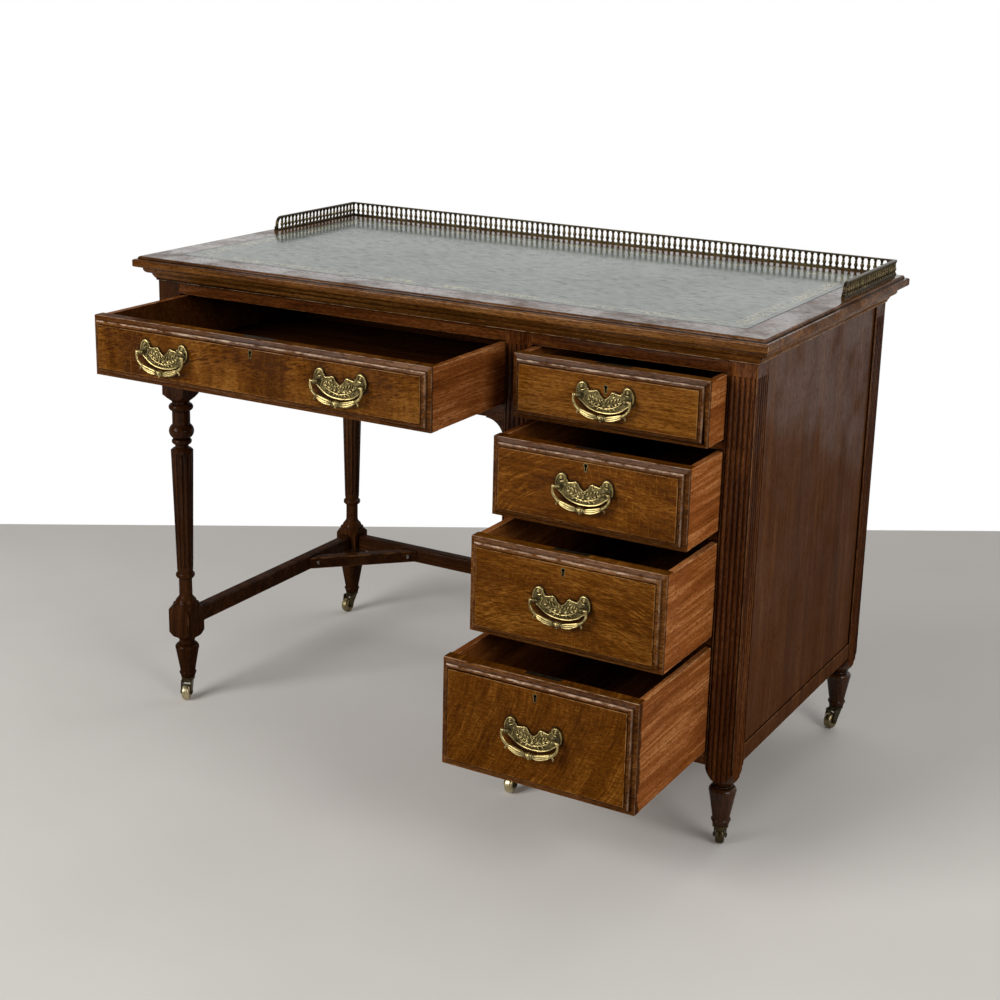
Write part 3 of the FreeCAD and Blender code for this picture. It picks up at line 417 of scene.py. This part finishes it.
def inside_set(name, share):
    below = [oak(name + "_floor", "X", ray=0.0, polish=0.0, **SHADED_FLOOR)]
    return below + [oak(name, along, ray=0.0, fleck=0.12, polish=0.05, **shaded(share, WALL)) for along in "YZ"]


dark_inside = inside_set("drawer_inside", 1.0)
# The long drawer's walls are painted 2.2 times lighter, a painted light where the top keeps them in shade.
painted_light_inside = inside_set("long_drawer_inside", 2.2)
for drawer, (figure, shade, side_shade, stain_reach) in DRAWERS.items():
    stain = (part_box(drawer + "_drawer_moulding")[1].y, stain_reach)
    sides = oak_set("drawer_wood_" + drawer, ray=0.0, fleck=0.14, polish=0.14, gloss=0.5, stain=stain,
                    **shaded(side_shade, SIDE))
    # The fronts take a painted shadow around their pulls, with some patina.
    faces = oak_set("front_oak_" + drawer, ray=0.45, polish=0.14, patina=0.014, figure=figure,
                    **shaded(shade, FRONT))
    front_oak[drawer] = faces + [sides[1]]
    drawer_oak[drawer] = sides + (painted_light_inside if drawer == "long" else dark_inside)
print(len(front_oak), "figured fronts")

# %% [markdown]
# ## Leather
# The writing surface is one skin, dyed grey green and glazed. Its grain is a fine net of cells, its polish is
# uneven where arms have rested, ink was spilt on it once, and a gilt band runs round it, rolled on with a tool
# and half worn away. The band is drawn by the distance from the skin's edge, so it needs no picture.

# %% Leather recipe
leather_low, leather_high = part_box("writing_leather")
INK_SPOT = (0.2233, 0.0694, leather_high.z)
SKIN = [(0.34, (0.010, 0.018, 0.009)), (0.50, (0.030, 0.050, 0.027)), (0.66, (0.066, 0.090, 0.052))]
SCRATCH = (0.008, 0.010, 0.008)
GILT = (0.50, 0.41, 0.17)
GILT_LINES = (0.0120, 0.0290)
GILT_BAND = 0.0205


def from_edge(skin):
    # How far a point lies from the nearest edge of the skin.
    half = (leather_high - leather_low) / 2
    here = skin.place(shift=tuple(-(leather_low + leather_high) / 2))
    return (half.x - skin.axis(here, "X").size()).least(half.y - skin.axis(here, "Y").size())


def gilt_band(skin, edge):
    # Two thin lines with a rolled pattern between them.
    first, second = ((edge - inset).size().between(0.0014, 0.0006) for inset in GILT_LINES)
    roll = skin.node("ShaderNodeTexVoronoi", {"feature": "SMOOTH_F1"},
                     {"Vector": skin.place(), "Scale": 190.0, "Smoothness": 0.2})
    band = (edge - GILT_BAND).size().between(0.0075, 0.0055) * roll.between(0.50, 0.36)
    lost = skin.noise(skin.place((30.0, 30.0, 1.0)), 5.0, 0.7).between(0.38, 0.56)
    return (first.most(second) * 0.6).most(band) * lost


def leather_finish():
    skin = Finish("green_leather")
    edge = from_edge(skin)
    cells = skin.node("ShaderNodeTexVoronoi", {"feature": "DISTANCE_TO_EDGE"},
                      {"Vector": skin.place(), "Scale": 620.0})
    creases = skin.noise(skin.place((65.0, 420.0, 1.0)), 5.0, 0.6)
    scratches = skin.noise(skin.place((48.0, 300.0, 1.0)), 3.0, 0.6).between(0.555, 0.66)
    cloud = skin.noise(skin.place((5.0, 6.0, 1.0)))
    colour = skin.tint(cloud * 0.35 + creases * 0.65, SKIN)
    off_spot = skin.node("ShaderNodeVectorMath", {"operation": "DISTANCE"}, {0: skin.place(), 1: INK_SPOT},
                         "Value")
    inked = off_spot.between(0.0042, 0.0026)
    seam = edge.between(0.0022, 0.0010)
    colour = skin.mix((scratches * 0.8).most(inked).most(seam), colour, SCRATCH)
    gilt = gilt_band(skin, edge)
    colour = skin.mix(gilt * 0.8, colour, GILT)
    height = cells.between(0.0, 0.35) * 0.4 + creases * 0.6 - scratches * 0.5 - gilt * 0.3
    glaze = creases.between(0.30, 0.70) * 0.36 + cloud * 0.24 + 0.25
    return skin.surface(Base_Color=colour, Roughness=0.55 - 0.15 * glaze,
                        Coat_Weight=(0.20 + 0.85 * glaze) * (1.0 - 0.75 * scratches.most(inked).most(seam)),
                        Coat_Roughness=0.11, Specular_IOR_Level=0.20, Normal=skin.bump(height, 0.14, 0.0006))


leather = leather_finish()
print("leather for a skin of", *(round(side, 3) for side in leather_high - leather_low), "m")

# %% [markdown]
# ## Brass
# Old brass is bright where hands and cloths reach it and brown to black in the hollows. The hollows are found
# by how much of the surroundings a point can see, which belongs to the shape and not to the camera. Locks and
# the gallery's rails were never polished, so they are nearly black, and the castors have not all dulled alike.
# The front right wheel is painted as dark as the forks, a painted shade for a wheel that sits in shadow.

# %% Brass recipe


def brass(name, bright, dull, hollow, reach, gloss=0.28):
    metal = Finish(name)
    stain = metal.noise(metal.place((90.0, 90.0, 90.0)), 5.0, 0.6)
    colour = metal.mix(stain.between(0.35, 0.65), dull, bright)
    shade = metal.hollows(reach, True).between(0.88, 0.42)
    colour = metal.mix(shade, colour, hollow)
    fine = metal.noise(metal.place((900.0, 900.0, 900.0)), 3.0)
    return metal.surface(Base_Color=colour, Metallic=1.0 - 0.55 * shade,
                         Roughness=gloss + 0.2 * stain + 0.25 * shade,
                         Normal=metal.bump(fine, 0.08, 0.0003))


handle_brass = brass("handle_brass", (0.58, 0.46, 0.195), (0.22, 0.165, 0.064), (0.012, 0.008, 0.003), 0.0028)
plate_brass = brass("plate_brass", (0.20, 0.158, 0.066), (0.085, 0.066, 0.027), (0.010, 0.007, 0.0035),
                    0.006, 0.34)
gallery_brass = brass("gallery_brass", (0.17, 0.125, 0.055), (0.055, 0.040, 0.018), (0.010, 0.007, 0.004),
                      0.008, 0.30)
rail_brass = brass("rail_brass", (0.055, 0.041, 0.018), (0.020, 0.0145, 0.006), (0.006, 0.004, 0.002),
                   0.008, 0.34)
fork_brass = brass("fork_brass", (0.085, 0.064, 0.031), (0.032, 0.024, 0.011), (0.008, 0.006, 0.003), 0.008)
dull_brass = brass("dull_brass", (0.30, 0.24, 0.125), (0.15, 0.115, 0.056), (0.02, 0.014, 0.007), 0.008)
wheel_brass = brass("wheel_brass", (0.66, 0.57, 0.36), (0.45, 0.37, 0.20), (0.05, 0.036, 0.018), 0.008, 0.24)
lock_brass = brass("lock_brass", (0.030, 0.022, 0.012), (0.014, 0.010, 0.006), (0.006, 0.004, 0.003),
                   0.004, 0.8)


# %% Steel, and which finish goes where
def plain_steel():
    metal = Finish("screw_steel")
    rust = metal.noise(metal.place((300.0, 300.0, 300.0)), 5.0, 0.6)
    colour = metal.tint(rust, [(0.35, (0.22, 0.20, 0.18)), (0.65, (0.07, 0.045, 0.03))])
    return metal.surface(Base_Color=colour, Metallic=0.9, Roughness=0.35 + 0.3 * rust)


steel = plain_steel()
FINISH_OF_SLOT = {
    "carcass_oak": carcass_oak, "dark_oak": dark_oak, "inner_oak": inner_oak, "leather": [leather] * 3,
    "brass": [plate_brass] * 3 + [lock_brass], "gallery_brass": [gallery_brass] * 3,
    "castor_brass": [fork_brass] * 3, "steel": [steel] * 3,
}
OWN_FINISH = {
    "gallery_base_rail": [rail_brass] * 3, "gallery_top_rail": [rail_brass] * 3,
    "top_board": top_oak + [writing_oak], "under_top_moulding": top_oak,
    "pedestal_posts": post_oak + [foot_oak], "pedestal_right_side": panel_oak,
    "front_rails": post_oak, "kneehole_brackets": post_oak,
    "castor_wheel_front_left": [wheel_brass] * 3, "castor_wheel_pedestal_front_left": [wheel_brass] * 3,
    "castor_wheel_back_left": [dull_brass] * 3, "castor_wheel_pedestal_back_left": [dull_brass] * 3,
    # The front right wheel takes the nearly black fork brass, a painted shade.
    "castor_wheel_back_right": [dull_brass] * 3, "castor_wheel_front_right": [fork_brass] * 3,
}


def finishes_of(node):
    drawer = node.split("_")[0]
    if slot_of_node[node] == "front_oak":
        return front_oak[drawer]
    if slot_of_node[node] == "drawer_oak":
        return drawer_oak[drawer]
    if node.endswith("drawer_moulding"):
        return bead_oak
    return OWN_FINISH.get(node) or FINISH_OF_SLOT[slot_of_node[node]]


print(len(bpy.data.materials), "materials")

# %% [markdown]
# ## Softened pieces
# A cabinet maker eases every arris, and a century of dusting rounds it further. A bevel modifier would treat
# all edges alike, so each piece is taken as a copy of its joinery shape: doubled corners are merged, flat faces
# are joined up again, and a narrow bevel goes along the outer arrises that have room for it. Inner corners keep
# their line, and the brackets of the kneehole stay sharp. Every separate board takes the grain of its longest
# side. Three marks on the copy are read by the oak recipe: a number for each board; a mark for worn bevelled
# strips, which on the mouldings is a painted highlight strongest on their upper side; and a mark for dirt and
# painted shade between the reeds of the posts.

# %% Boards of a piece
PLACE_DIGITS = 5


def extent(board):
    corners = [corner.co for face in board for corner in face.verts]
    return [[pick(c[i] for c in corners) for i in range(3)] for pick in (min, max)]


def low_corner(board):
    return [round(value, PLACE_DIGITS) for value in extent(board)[0]]


def longest_side(board):
    spans = [high - low for low, high in zip(*extent(board))]
    return spans.index(max(spans))


def boards_of(shape):
    # The loose boards in a mesh, each as a list of faces, always in the same order: by their place in the desk.
    left = set(shape.faces)
    boards = []
    for start in shape.faces:
        if start not in left:
            continue
        left.discard(start)
        todo = [start]
        board = []
        while todo:
            face = todo.pop()
            board.append(face)
            for edge in face.edges:
                for other in edge.link_faces:
                    if other in left:
                        left.discard(other)
                        todo.append(other)
        boards.append(board)
    return sorted(boards, key=low_corner)


# %% Faces that differ from their board
FOOT_TOP = 0.124
REED_DEPTH = 0.0018
# Dirt and painted shade on the front and the side of a post begin at the first depth and are black at the
# second.
FRONT_DIRT_AND_SHADE, SIDE_DIRT_AND_SHADE = (0.0007, 0.0012), (0.0003, 0.0005)
# How strong the painted highlight is on the upper side, on the end and on the rest of a moulding.
HIGHLIGHT_TOP, HIGHLIGHT_END, HIGHLIGHT_REST = 0.9, 0.3, 0.15
TILTED, SQUARE = 0.3, 0.9
SLOPE = (0.42, 0.82)
NEAR = 0.001
SIDE_BOARD = 0.4
# Finishes come in the order of the grain, X, Y, Z, and an extra one may follow.
GRAIN_Y, EXTRA = 1, 3


def reed_dirt_and_shade(board, groove):
    # Dirt and painted shade in the valleys between the reeds of a post, by their depth under its front and its
    # right side; on the side, where the valleys sit in shade, the mark climbs higher up the reeds.
    corners = {corner for face in board for corner in face.verts if corner.co.z > FOOT_TOP}
    front = min(corner.co.y for corner in corners)
    side = max(corner.co.x for corner in corners)
    for corner in corners:
        for depth, (clean, black) in ((corner.co.y - front, FRONT_DIRT_AND_SHADE), (side - corner.co.x, SIDE_DIRT_AND_SHADE)):
            if clean < depth < REED_DEPTH:
                corner[groove] = max(corner[groove], min((depth - clean) / (black - clean), 1.0))


def moulding_highlight_and_wear(normal):
    # A painted highlight, with a little wear, on a drawer moulding: strongest on the upper side where the light
    # falls, weaker on the end by the pedestal side, and least elsewhere.
    if normal.z > TILTED:
        return HIGHLIGHT_TOP
    return HIGHLIGHT_END if normal.x > TILTED else HIGHLIGHT_REST


def choose_faces(node, board, grain, marks):
    # Drawer ends and insides, the writing top, locks, feet, and the painted highlight on the moulding slopes.
    low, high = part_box(node)
    middle = (low + high) / 2
    slot = slot_of_node[node]
    lock = node.endswith("fittings") and extent(board)[1][2] > high.z - NEAR
    for face in board:
        place = face.calc_center_median()
        at_end = abs(face.normal.x) > SQUARE and abs(place.x - middle.x) > (high.x - low.x) / 2 - NEAR
        if slot == "drawer_oak" and face.normal.dot(middle - place) > 0.0:
            face.material_index = grain + EXTRA
        elif slot in ("front_oak", "drawer_oak") and at_end:
            face.material_index = EXTRA if slot == "front_oak" else GRAIN_Y
            face[marks["board"]] = SIDE_BOARD
        elif lock or node == "top_board" and face.normal.z > SQUARE:
            face.material_index = EXTRA
        elif node == "pedestal_posts" and place.z < FOOT_TOP:
            face.material_index = EXTRA
        elif node.endswith("drawer_moulding") and SLOPE[0] < -face.normal.y < SLOPE[1]:
            # The slopes of a moulding take a painted highlight, by the way they face.
            face[marks["wear"]] = moulding_highlight_and_wear(face.normal)


# %% Soften a piece
MERGE = 0.00001
FLAT_ANGLE = math.radians(0.5)
ARRIS_ANGLE = math.radians(28.0)
SMOOTH_ANGLE = math.radians(32.0)
LONG_EDGE = 0.03
ROOM_ALONG, ROOM_ACROSS = 6.0, 1.3
LEFT_SHARP = {"kneehole_brackets"}
PIECE_STEP, NEXT_STEP = 0.37, 0.618
MARKS = ("board", "wear")


def outer_arrises(shape, node, arris):
    # Only an outer edge that is long enough, between faces that are wide enough, takes a bevel.
    if node in LEFT_SHARP:
        return []
    shortest = LONG_EDGE if slot_of_node[node] in ("front_oak", "drawer_oak") else arris * ROOM_ALONG

    def has_room(edge):
        length = edge.calc_length()
        smallest = min(face.calc_area() for face in edge.link_faces)
        return length > shortest and smallest / length > arris * ROOM_ACROSS

    return [edge for edge in shape.edges
            if edge.is_manifold and edge.calc_face_angle_signed(0.0) > ARRIS_ANGLE and has_room(edge)]


def finished(shape, name, finishes, body):
    # Turns a shape into a piece of the desk that rides on a body.
    mesh = bpy.data.meshes.new(name)
    shape.to_mesh(mesh)
    shape.free()
    for finish in finishes:
        mesh.materials.append(finish)
    mesh.shade_smooth()
    mesh.set_sharp_from_angle(angle=SMOOTH_ANGLE)
    piece = bpy.data.objects.new(name, mesh)
    bpy.context.scene.collection.objects.link(piece)
    even = piece.modifiers.new("even_normals", "WEIGHTED_NORMAL")
    even.keep_sharp = True
    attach(piece, body)
    return piece


def soften(node, arris):
    shape = bmesh.new()
    shape.from_mesh(nodes[node].data)
    bmesh.ops.remove_doubles(shape, verts=shape.verts, dist=MERGE)
    bmesh.ops.dissolve_limit(shape, angle_limit=FLAT_ANGLE, verts=shape.verts, edges=shape.edges)
    groove = shape.verts.layers.float.new("groove")
    for name in MARKS:
        shape.faces.layers.float.new(name)
    marks = {name: shape.faces.layers.float[name] for name in MARKS}
    for count, board in enumerate(boards_of(shape)):
        grain = longest_side(board)
        for face in board:
            face.material_index = grain
            face[marks["board"]] = (len(node) * PIECE_STEP + count * NEXT_STEP) % 1.0
        choose_faces(node, board, grain, marks)
        if node == "pedestal_posts":
            reed_dirt_and_shade(board, groove)
    worn = bmesh.ops.bevel(shape, geom=outer_arrises(shape, node, arris), offset=arris, offset_type="OFFSET",
                           affect="EDGES", segments=2, profile=0.5, material=-1, clamp_overlap=False)
    # Bevelled strips are worn; on a moulding they carry the painted highlight instead.
    for face in worn["faces"]:
        face[marks["wear"]] = moulding_highlight_and_wear(face.normal) if node.endswith("drawer_moulding") else 1.0
    piece = finished(shape, node + "_eased", finishes_of(node), body_of_node[node])
    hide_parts(node)


# %% Soften them all
WOOD_ARRIS, MOULDING_ARRIS, METAL_ARRIS = 0.0009, 0.0004, 0.0003
OWN_ARRIS = {"stretchers": 0.0024}
WOOD_SLOTS = {"carcass_oak", "dark_oak", "front_oak", "drawer_oak", "inner_oak"}
BAILS = [node for node in sorted(nodes) if node.endswith("bail")]


def arris_of(node):
    # How wide a piece's arrises are eased: nothing for leather, screws and balusters.
    if node.endswith("drawer_moulding"):
        return MOULDING_ARRIS
    if slot_of_node[node] in WOOD_SLOTS:
        return OWN_ARRIS.get(node, WOOD_ARRIS)
    if node.endswith(("fittings", "rail")) or node.startswith("castor"):
        return METAL_ARRIS
    return 0.0


softened = [node for node in sorted(nodes) if arris_of(node)]
for node in softened:
    soften(node, arris_of(node))
for node in sorted(nodes):
    if node not in softened and node not in BAILS:
        nodes[node].data.materials.clear()
        nodes[node].data.materials.append(finishes_of(node)[0])
print(len(softened), "pieces softened")

# %% [markdown]
# ## Drawer pulls
# Each pull is two castings. The plate is held by ball-ended posts, and its low relief was carved in the
# founder's pattern: a curled volute at each end, small scrolls beside the notch, a bead along the lower edge
# and leaves round a flower between them. The bail swings on the posts: two reeded leaves meet at a knot of
# beads. The relief is laid on as tapering bars, beads and leaves, which is close to how the wax pattern was
# built up and quicker than sculpting.

# %% Bars, beads and leaves
MM = 0.001


def bar(shape, points, radii):
    # A bar through the points, thick by the radius at each one.
    line = bpy.data.curves.new("bar", "CURVE")
    line.dimensions = "3D"
    line.use_fill_caps = True
    line.resolution_u = 4
    line.bevel_depth = 1.0
    line.bevel_resolution = 2
    spline = line.splines.new("BEZIER")
    spline.bezier_points.add(len(points) - 1)
    for knot, place, radius in zip(spline.bezier_points, points, radii):
        knot.co = place
        knot.radius = radius
        knot.handle_left_type = "AUTO"
        knot.handle_right_type = "AUTO"
    holder = bpy.data.objects.new("bar", line)
    shape.from_mesh(holder.to_mesh())
    holder.to_mesh_clear()
    bpy.data.objects.remove(holder)
    bpy.data.curves.remove(line)


def bead(shape, place, radius, flat=1.0):
    # A ball, or a collar when it is made flat along X.
    bmesh.ops.create_uvsphere(shape, u_segments=12, v_segments=8, radius=radius,
                              matrix=Matrix.Translation(place) @ Matrix.Diagonal((flat, 1.0, 1.0, 1.0)))


def leaf(shape, root, tip, width, thick):
    along = tip - root
    turn = along.to_track_quat("X", "Y").to_matrix().to_4x4()
    form = Matrix.Diagonal((along.length / 2, width / 2, thick / 2, 1.0))
    bmesh.ops.create_uvsphere(shape, u_segments=10, v_segments=6, radius=1.0,
                              matrix=Matrix.Translation((root + tip) / 2) @ turn @ form)


# %% Plates
# All in millimetres. A scroll has its points, its first and last radius, and how far it stands out; a leaf its
# root, its tip and its width; a bead its place, its radius and how far it stands out.
PIVOT_OUT, PIVOT_RISE, SHOULDER, PLATE = 12.0, 2.0, 2.1, 2.2
LEAF_ROOT, LEAF_TIP, LEAF_THICK = 1.1, 1.5, 2.0
SCROLLS = [
    ([(42.0, -0.6), (42.4, 6.0), (40.4, 12.6), (36.6, 17.2), (31.2, 17.0), (28.8, 12.8), (30.8, 8.6),
      (35.0, 7.4)], 1.0, 0.8, 0.3),
    ([(1.0, -1.8), (5.2, 1.4), (8.2, 4.8), (10.2, 8.2), (13.2, 9.2), (16.0, 7.2), (15.4, 4.2), (12.8, 2.9)],
     0.8, 0.7, 0.3),
    ([(15.6, 8.2), (19.0, 7.8), (23.6, 7.2), (26.6, 9.4), (28.0, 13.0)], 0.8, 0.8, 0.3),
    ([(40.6, -2.6), (37.4, -5.4), (32.4, -9.2), (24.6, -15.0), (12.3, -19.3), (0.0, -20.5)], 1.1, 1.3, 0.4),
    ([(27.6, 4.2), (30.2, -1.6), (31.2, -6.4)], 0.7, 1.0, 0.8),
    ([(1.2, -14.2), (8.8, -12.6), (16.4, -10.0), (22.6, -6.0), (27.0, -1.0)], 0.8, 0.5, 1.5),
]
LEAVES = [
    (5.2, -6.8, 7.4, -1.6, 2.6), (9.4, -5.4, 12.4, 0.2, 2.6), (14.4, -4.2, 17.6, 1.8, 2.6),
    (19.6, -2.4, 21.6, 3.4, 2.4), (6.0, -8.6, 10.6, -11.8, 2.8), (10.8, -7.2, 15.8, -10.4, 2.8),
    (15.6, -5.8, 20.6, -8.4, 2.8), (20.2, -3.4, 25.2, -4.8, 2.4), (2.2, -12.0, 4.6, -16.8, 2.6),
    (0.8, -5.0, 3.8, -1.8, 2.4), (7.6, -13.6, 10.6, -17.0, 2.2), (14.0, -11.8, 17.6, -14.8, 2.2),
]
BEADS = [(34.6, 12.2, 1.5, 2.0), (13.2, 5.8, 1.3, 1.2), (25.6, 10.2, 1.0, 0.4), (24.0, -0.2, 1.1, 1.4),
         (12.4, -7.6, 1.2, 1.8), (18.2, -5.0, 1.1, 1.7), (6.4, -9.6, 1.2, 1.8)]
FLOWER = [(0.0, -10.2, 2.0, 2.0), (0.0, -5.6, 1.3, 1.2), (0.0, -15.2, 1.6, 1.4), (0.0, -2.6, 1.0, 0.4)]


def handle_place(node):
    # Where a pull is: the middle of its plate's back, in millimetre steps to the right, up and out.
    low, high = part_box(node)
    middle = Vector(((low.x + high.x) / 2, (low.y + high.y) / 2 + PIVOT_OUT * MM,
                     high.z - (PIVOT_RISE + SHOULDER) * MM))
    return lambda x, z, out: middle + Vector((x, -out, z)) * MM


def plate_relief(node):
    at = handle_place(node)
    shape = bmesh.new()
    for side in (-1, 1):
        for points, first, last, rise in SCROLLS:
            steps = [first + (last - first) * i / (len(points) - 1) for i in range(len(points))]
            bar(shape, [at(side * x, z, PLATE + rise) for x, z in points], [r * MM for r in steps])
        for x, z, tip_x, tip_z, width in LEAVES:
            leaf(shape, at(side * x, z, PLATE + LEAF_ROOT), at(side * tip_x, tip_z, PLATE + LEAF_TIP),
                 width * MM, LEAF_THICK * MM)
        for x, z, radius, rise in BEADS:
            bead(shape, at(side * x, z, PLATE + rise), radius * MM)
    for x, z, radius, rise in FLOWER:
        bead(shape, at(x, z, PLATE + rise), radius * MM)
    drawer = node.split("_")[0]
    finished(shape, node.replace("bail", "plate_relief"), [handle_brass], drawer + "_drawer")


for node in BAILS:
    plate_relief(node)
print(len(BAILS), "plates carved")

# %% Bails
# A leaf's line has its points with their radii, a collar its place, radius and flatness, a curl its points.
LEAF_LINE = [(31.4, -18.5, 2.0), (29.0, -19.8, 2.8), (24.0, -21.9, 3.5), (18.6, -23.7, 3.8), (13.0, -24.8, 3.6),
             (9.0, -25.3, 2.9), (7.0, -25.4, 2.2)]
REEDS, REED_START, REED_RING, REED_THICK = 6, 0.25, 0.80, 0.38
COLLARS = [(6.4, -25.5, 3.4, 0.30), (4.2, -25.5, 4.2, 0.28), (32.2, -18.0, 3.2, 0.4), (40.5, -10.4, 2.9, 0.45)]
CURL = [(33.0, -18.6), (35.2, -20.4), (36.4, -22.6), (35.4, -24.0)]
CURL_RADII = (1.5, 1.3, 1.1, 0.7)
# The knot of beads in the middle: across, up, out past the pivot, and the radius.
KNOT_SIDE = (2.0, -23.0, 3.4, 1.7)
KNOT = [(0.0, -25.0, 0.8, 4.3), (0.0, -29.2, 1.0, 1.9)]


def dressed_bail(node):
    at = handle_place(node)
    shape = bmesh.new()
    shape.from_mesh(nodes[node].data)
    bmesh.ops.remove_doubles(shape, verts=shape.verts, dist=MERGE)
    for side in (-1, 1):
        for reed in range(REEDS):
            up = REED_RING * math.cos(math.tau * (reed + REED_START) / REEDS)
            out = REED_RING * math.sin(math.tau * (reed + REED_START) / REEDS)
            bar(shape, [at(side * x, z + r * up, PIVOT_OUT + r * out) for x, z, r in LEAF_LINE],
                [r * REED_THICK * MM for x, z, r in LEAF_LINE])
        for x, z, radius, flat in COLLARS:
            bead(shape, at(side * x, z, PIVOT_OUT), radius * MM, flat)
        bar(shape, [at(side * x, z, PIVOT_OUT) for x, z in CURL], [r * MM for r in CURL_RADII])
        x, z, out, radius = KNOT_SIDE
        bead(shape, at(side * x, z, PIVOT_OUT + out), radius * MM)
    for x, z, out, radius in KNOT:
        bead(shape, at(x, z, PIVOT_OUT + out), radius * MM)
    piece = finished(shape, node + "_cast", [handle_brass], body_of_node[node])
    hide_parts(node)


for node in BAILS:
    dressed_bail(node)
print(len(BAILS), "bails cast")

# %% [markdown]
# ## Room, light and camera
# The desk stands on a plain pale floor before a white backdrop. A large soft lamp stands to the front left, a
# weaker one to the right and a faint one behind. The room behind the camera is dim, so the polish shows the
# bright backdrop at a low angle and keeps its deep brown seen from the front.

# %% Floor
FLOOR_HALF = 6.0
BACK_EDGE = 1.065
BACK_TURN = math.radians(32.6)
FLOOR_TINT = [(0.3, (0.60, 0.575, 0.54)), (0.7, (0.64, 0.615, 0.58))]
floor_shape = bmesh.new()
laid = Matrix.Rotation(BACK_TURN, 4, "Z") @ Matrix.Translation((0.0, BACK_EDGE - FLOOR_HALF, 0.0))
bmesh.ops.create_grid(floor_shape, x_segments=1, y_segments=1, size=FLOOR_HALF, matrix=laid)
floor_mesh = bpy.data.meshes.new("floor")
floor_shape.to_mesh(floor_mesh)
floor_shape.free()
floor_finish = Finish("pale_floor")
speckle = floor_finish.noise(floor_finish.place((2.0, 2.0, 2.0)), 3.0)
floor_finish.surface(Base_Color=floor_finish.tint(speckle, FLOOR_TINT), Roughness=0.8, Specular_IOR_Level=0.1)
floor_mesh.materials.append(floor_finish.material)
floor = bpy.data.objects.new("floor", floor_mesh)
bpy.context.scene.collection.objects.link(floor)
print("floor laid,", 2 * FLOOR_HALF, "m wide")

# %% World
SHOWN_DIM, SHOWN_BRIGHT = 0.1, 1.0
LIT_DIM, LIT_BRIGHT = 0.2, 0.4
world = bpy.data.worlds.new("studio")
bpy.context.scene.world = world
world.use_nodes = True
sky = Recipe(world.node_tree)
back = sky.tree.nodes["Background"]
rays = {name: sky.node("ShaderNodeLightPath", output=name)
        for name in ("Is Camera Ray", "Is Glossy Ray", "Is Transmission Ray")}
way = sky.node("ShaderNodeTexCoord", output="Generated")
behind = sky.axis(way, "Y").between(-0.35, 0.45)
shown = behind * (SHOWN_BRIGHT - SHOWN_DIM) + SHOWN_DIM
lit = behind * (LIT_BRIGHT - LIT_DIM) + LIT_DIM
mirrored = rays["Is Glossy Ray"].most(rays["Is Transmission Ray"])
strength = lit + (shown - lit) * mirrored
strength = strength + (1.0 - strength) * rays["Is Camera Ray"]
sky.feed(back.inputs["Color"], (1.0, 1.0, 1.0))
sky.feed(back.inputs["Strength"], strength)
print("world lit from", LIT_DIM, "in front to", LIT_BRIGHT, "behind")

# %% Lamps
# A name, where the lamp stands, what it is aimed at, how wide it is and its power.
LAMPS = [
    ("key", (-1.6, -3.2, 2.0), (0.0, 0.0, 0.45), 2.0, 130.0),
    ("fill", (3.2, -1.2, 1.8), (0.2, 0.0, 0.4), 1.8, 60.0),
    ("back", (0.5, 2.8, 2.6), (0.0, 0.2, 0.7), 2.0, 22.0),
]
for name, at, aim, size, power in LAMPS:
    light = bpy.data.lights.new(name, "AREA")
    light.shape = "SQUARE"
    light.size = size
    light.energy = power
    lamp = bpy.data.objects.new(name, light)
    turn = (Vector(aim) - Vector(at)).to_track_quat("-Z", "Y")
    lamp.matrix_world = Matrix.Translation(at) @ turn.to_matrix().to_4x4()
    bpy.context.scene.collection.objects.link(lamp)
print(len(LAMPS), "lamps")

# %% Camera
# The focus and the axis are counted in the points of a square picture.
PICTURE = 1000.0
FOCUS = 1758.197
AXIS = (493.012, 442.332)
EYE = Vector((1.325614, -2.280622, 1.23466))
YAW, PITCH, ROLL = 0.51954, 0.27327, 0.02274
ahead = Vector((-math.sin(YAW) * math.cos(PITCH), math.cos(YAW) * math.cos(PITCH), -math.sin(PITCH)))
level = Vector((math.cos(YAW), math.sin(YAW), 0.0))
upright = level.cross(ahead)
right = level * math.cos(ROLL) + upright * math.sin(ROLL)
above = upright * math.cos(ROLL) - level * math.sin(ROLL)
eye = bpy.data.cameras.new("camera")
eye.sensor_width = 36.0
eye.lens = FOCUS / PICTURE * eye.sensor_width
eye.shift_x = (PICTURE / 2 - AXIS[0]) / PICTURE
eye.shift_y = (AXIS[1] - PICTURE / 2) / PICTURE
camera = bpy.data.objects.new("camera", eye)
turned = Matrix((right, above, -ahead)).transposed().to_4x4()
camera.matrix_world = Matrix.Translation(EYE) @ turned
bpy.context.scene.collection.objects.link(camera)
bpy.context.scene.camera = camera
bpy.context.scene.view_settings.view_transform = "Standard"
print("camera with a lens of", round(eye.lens, 1), "mm")
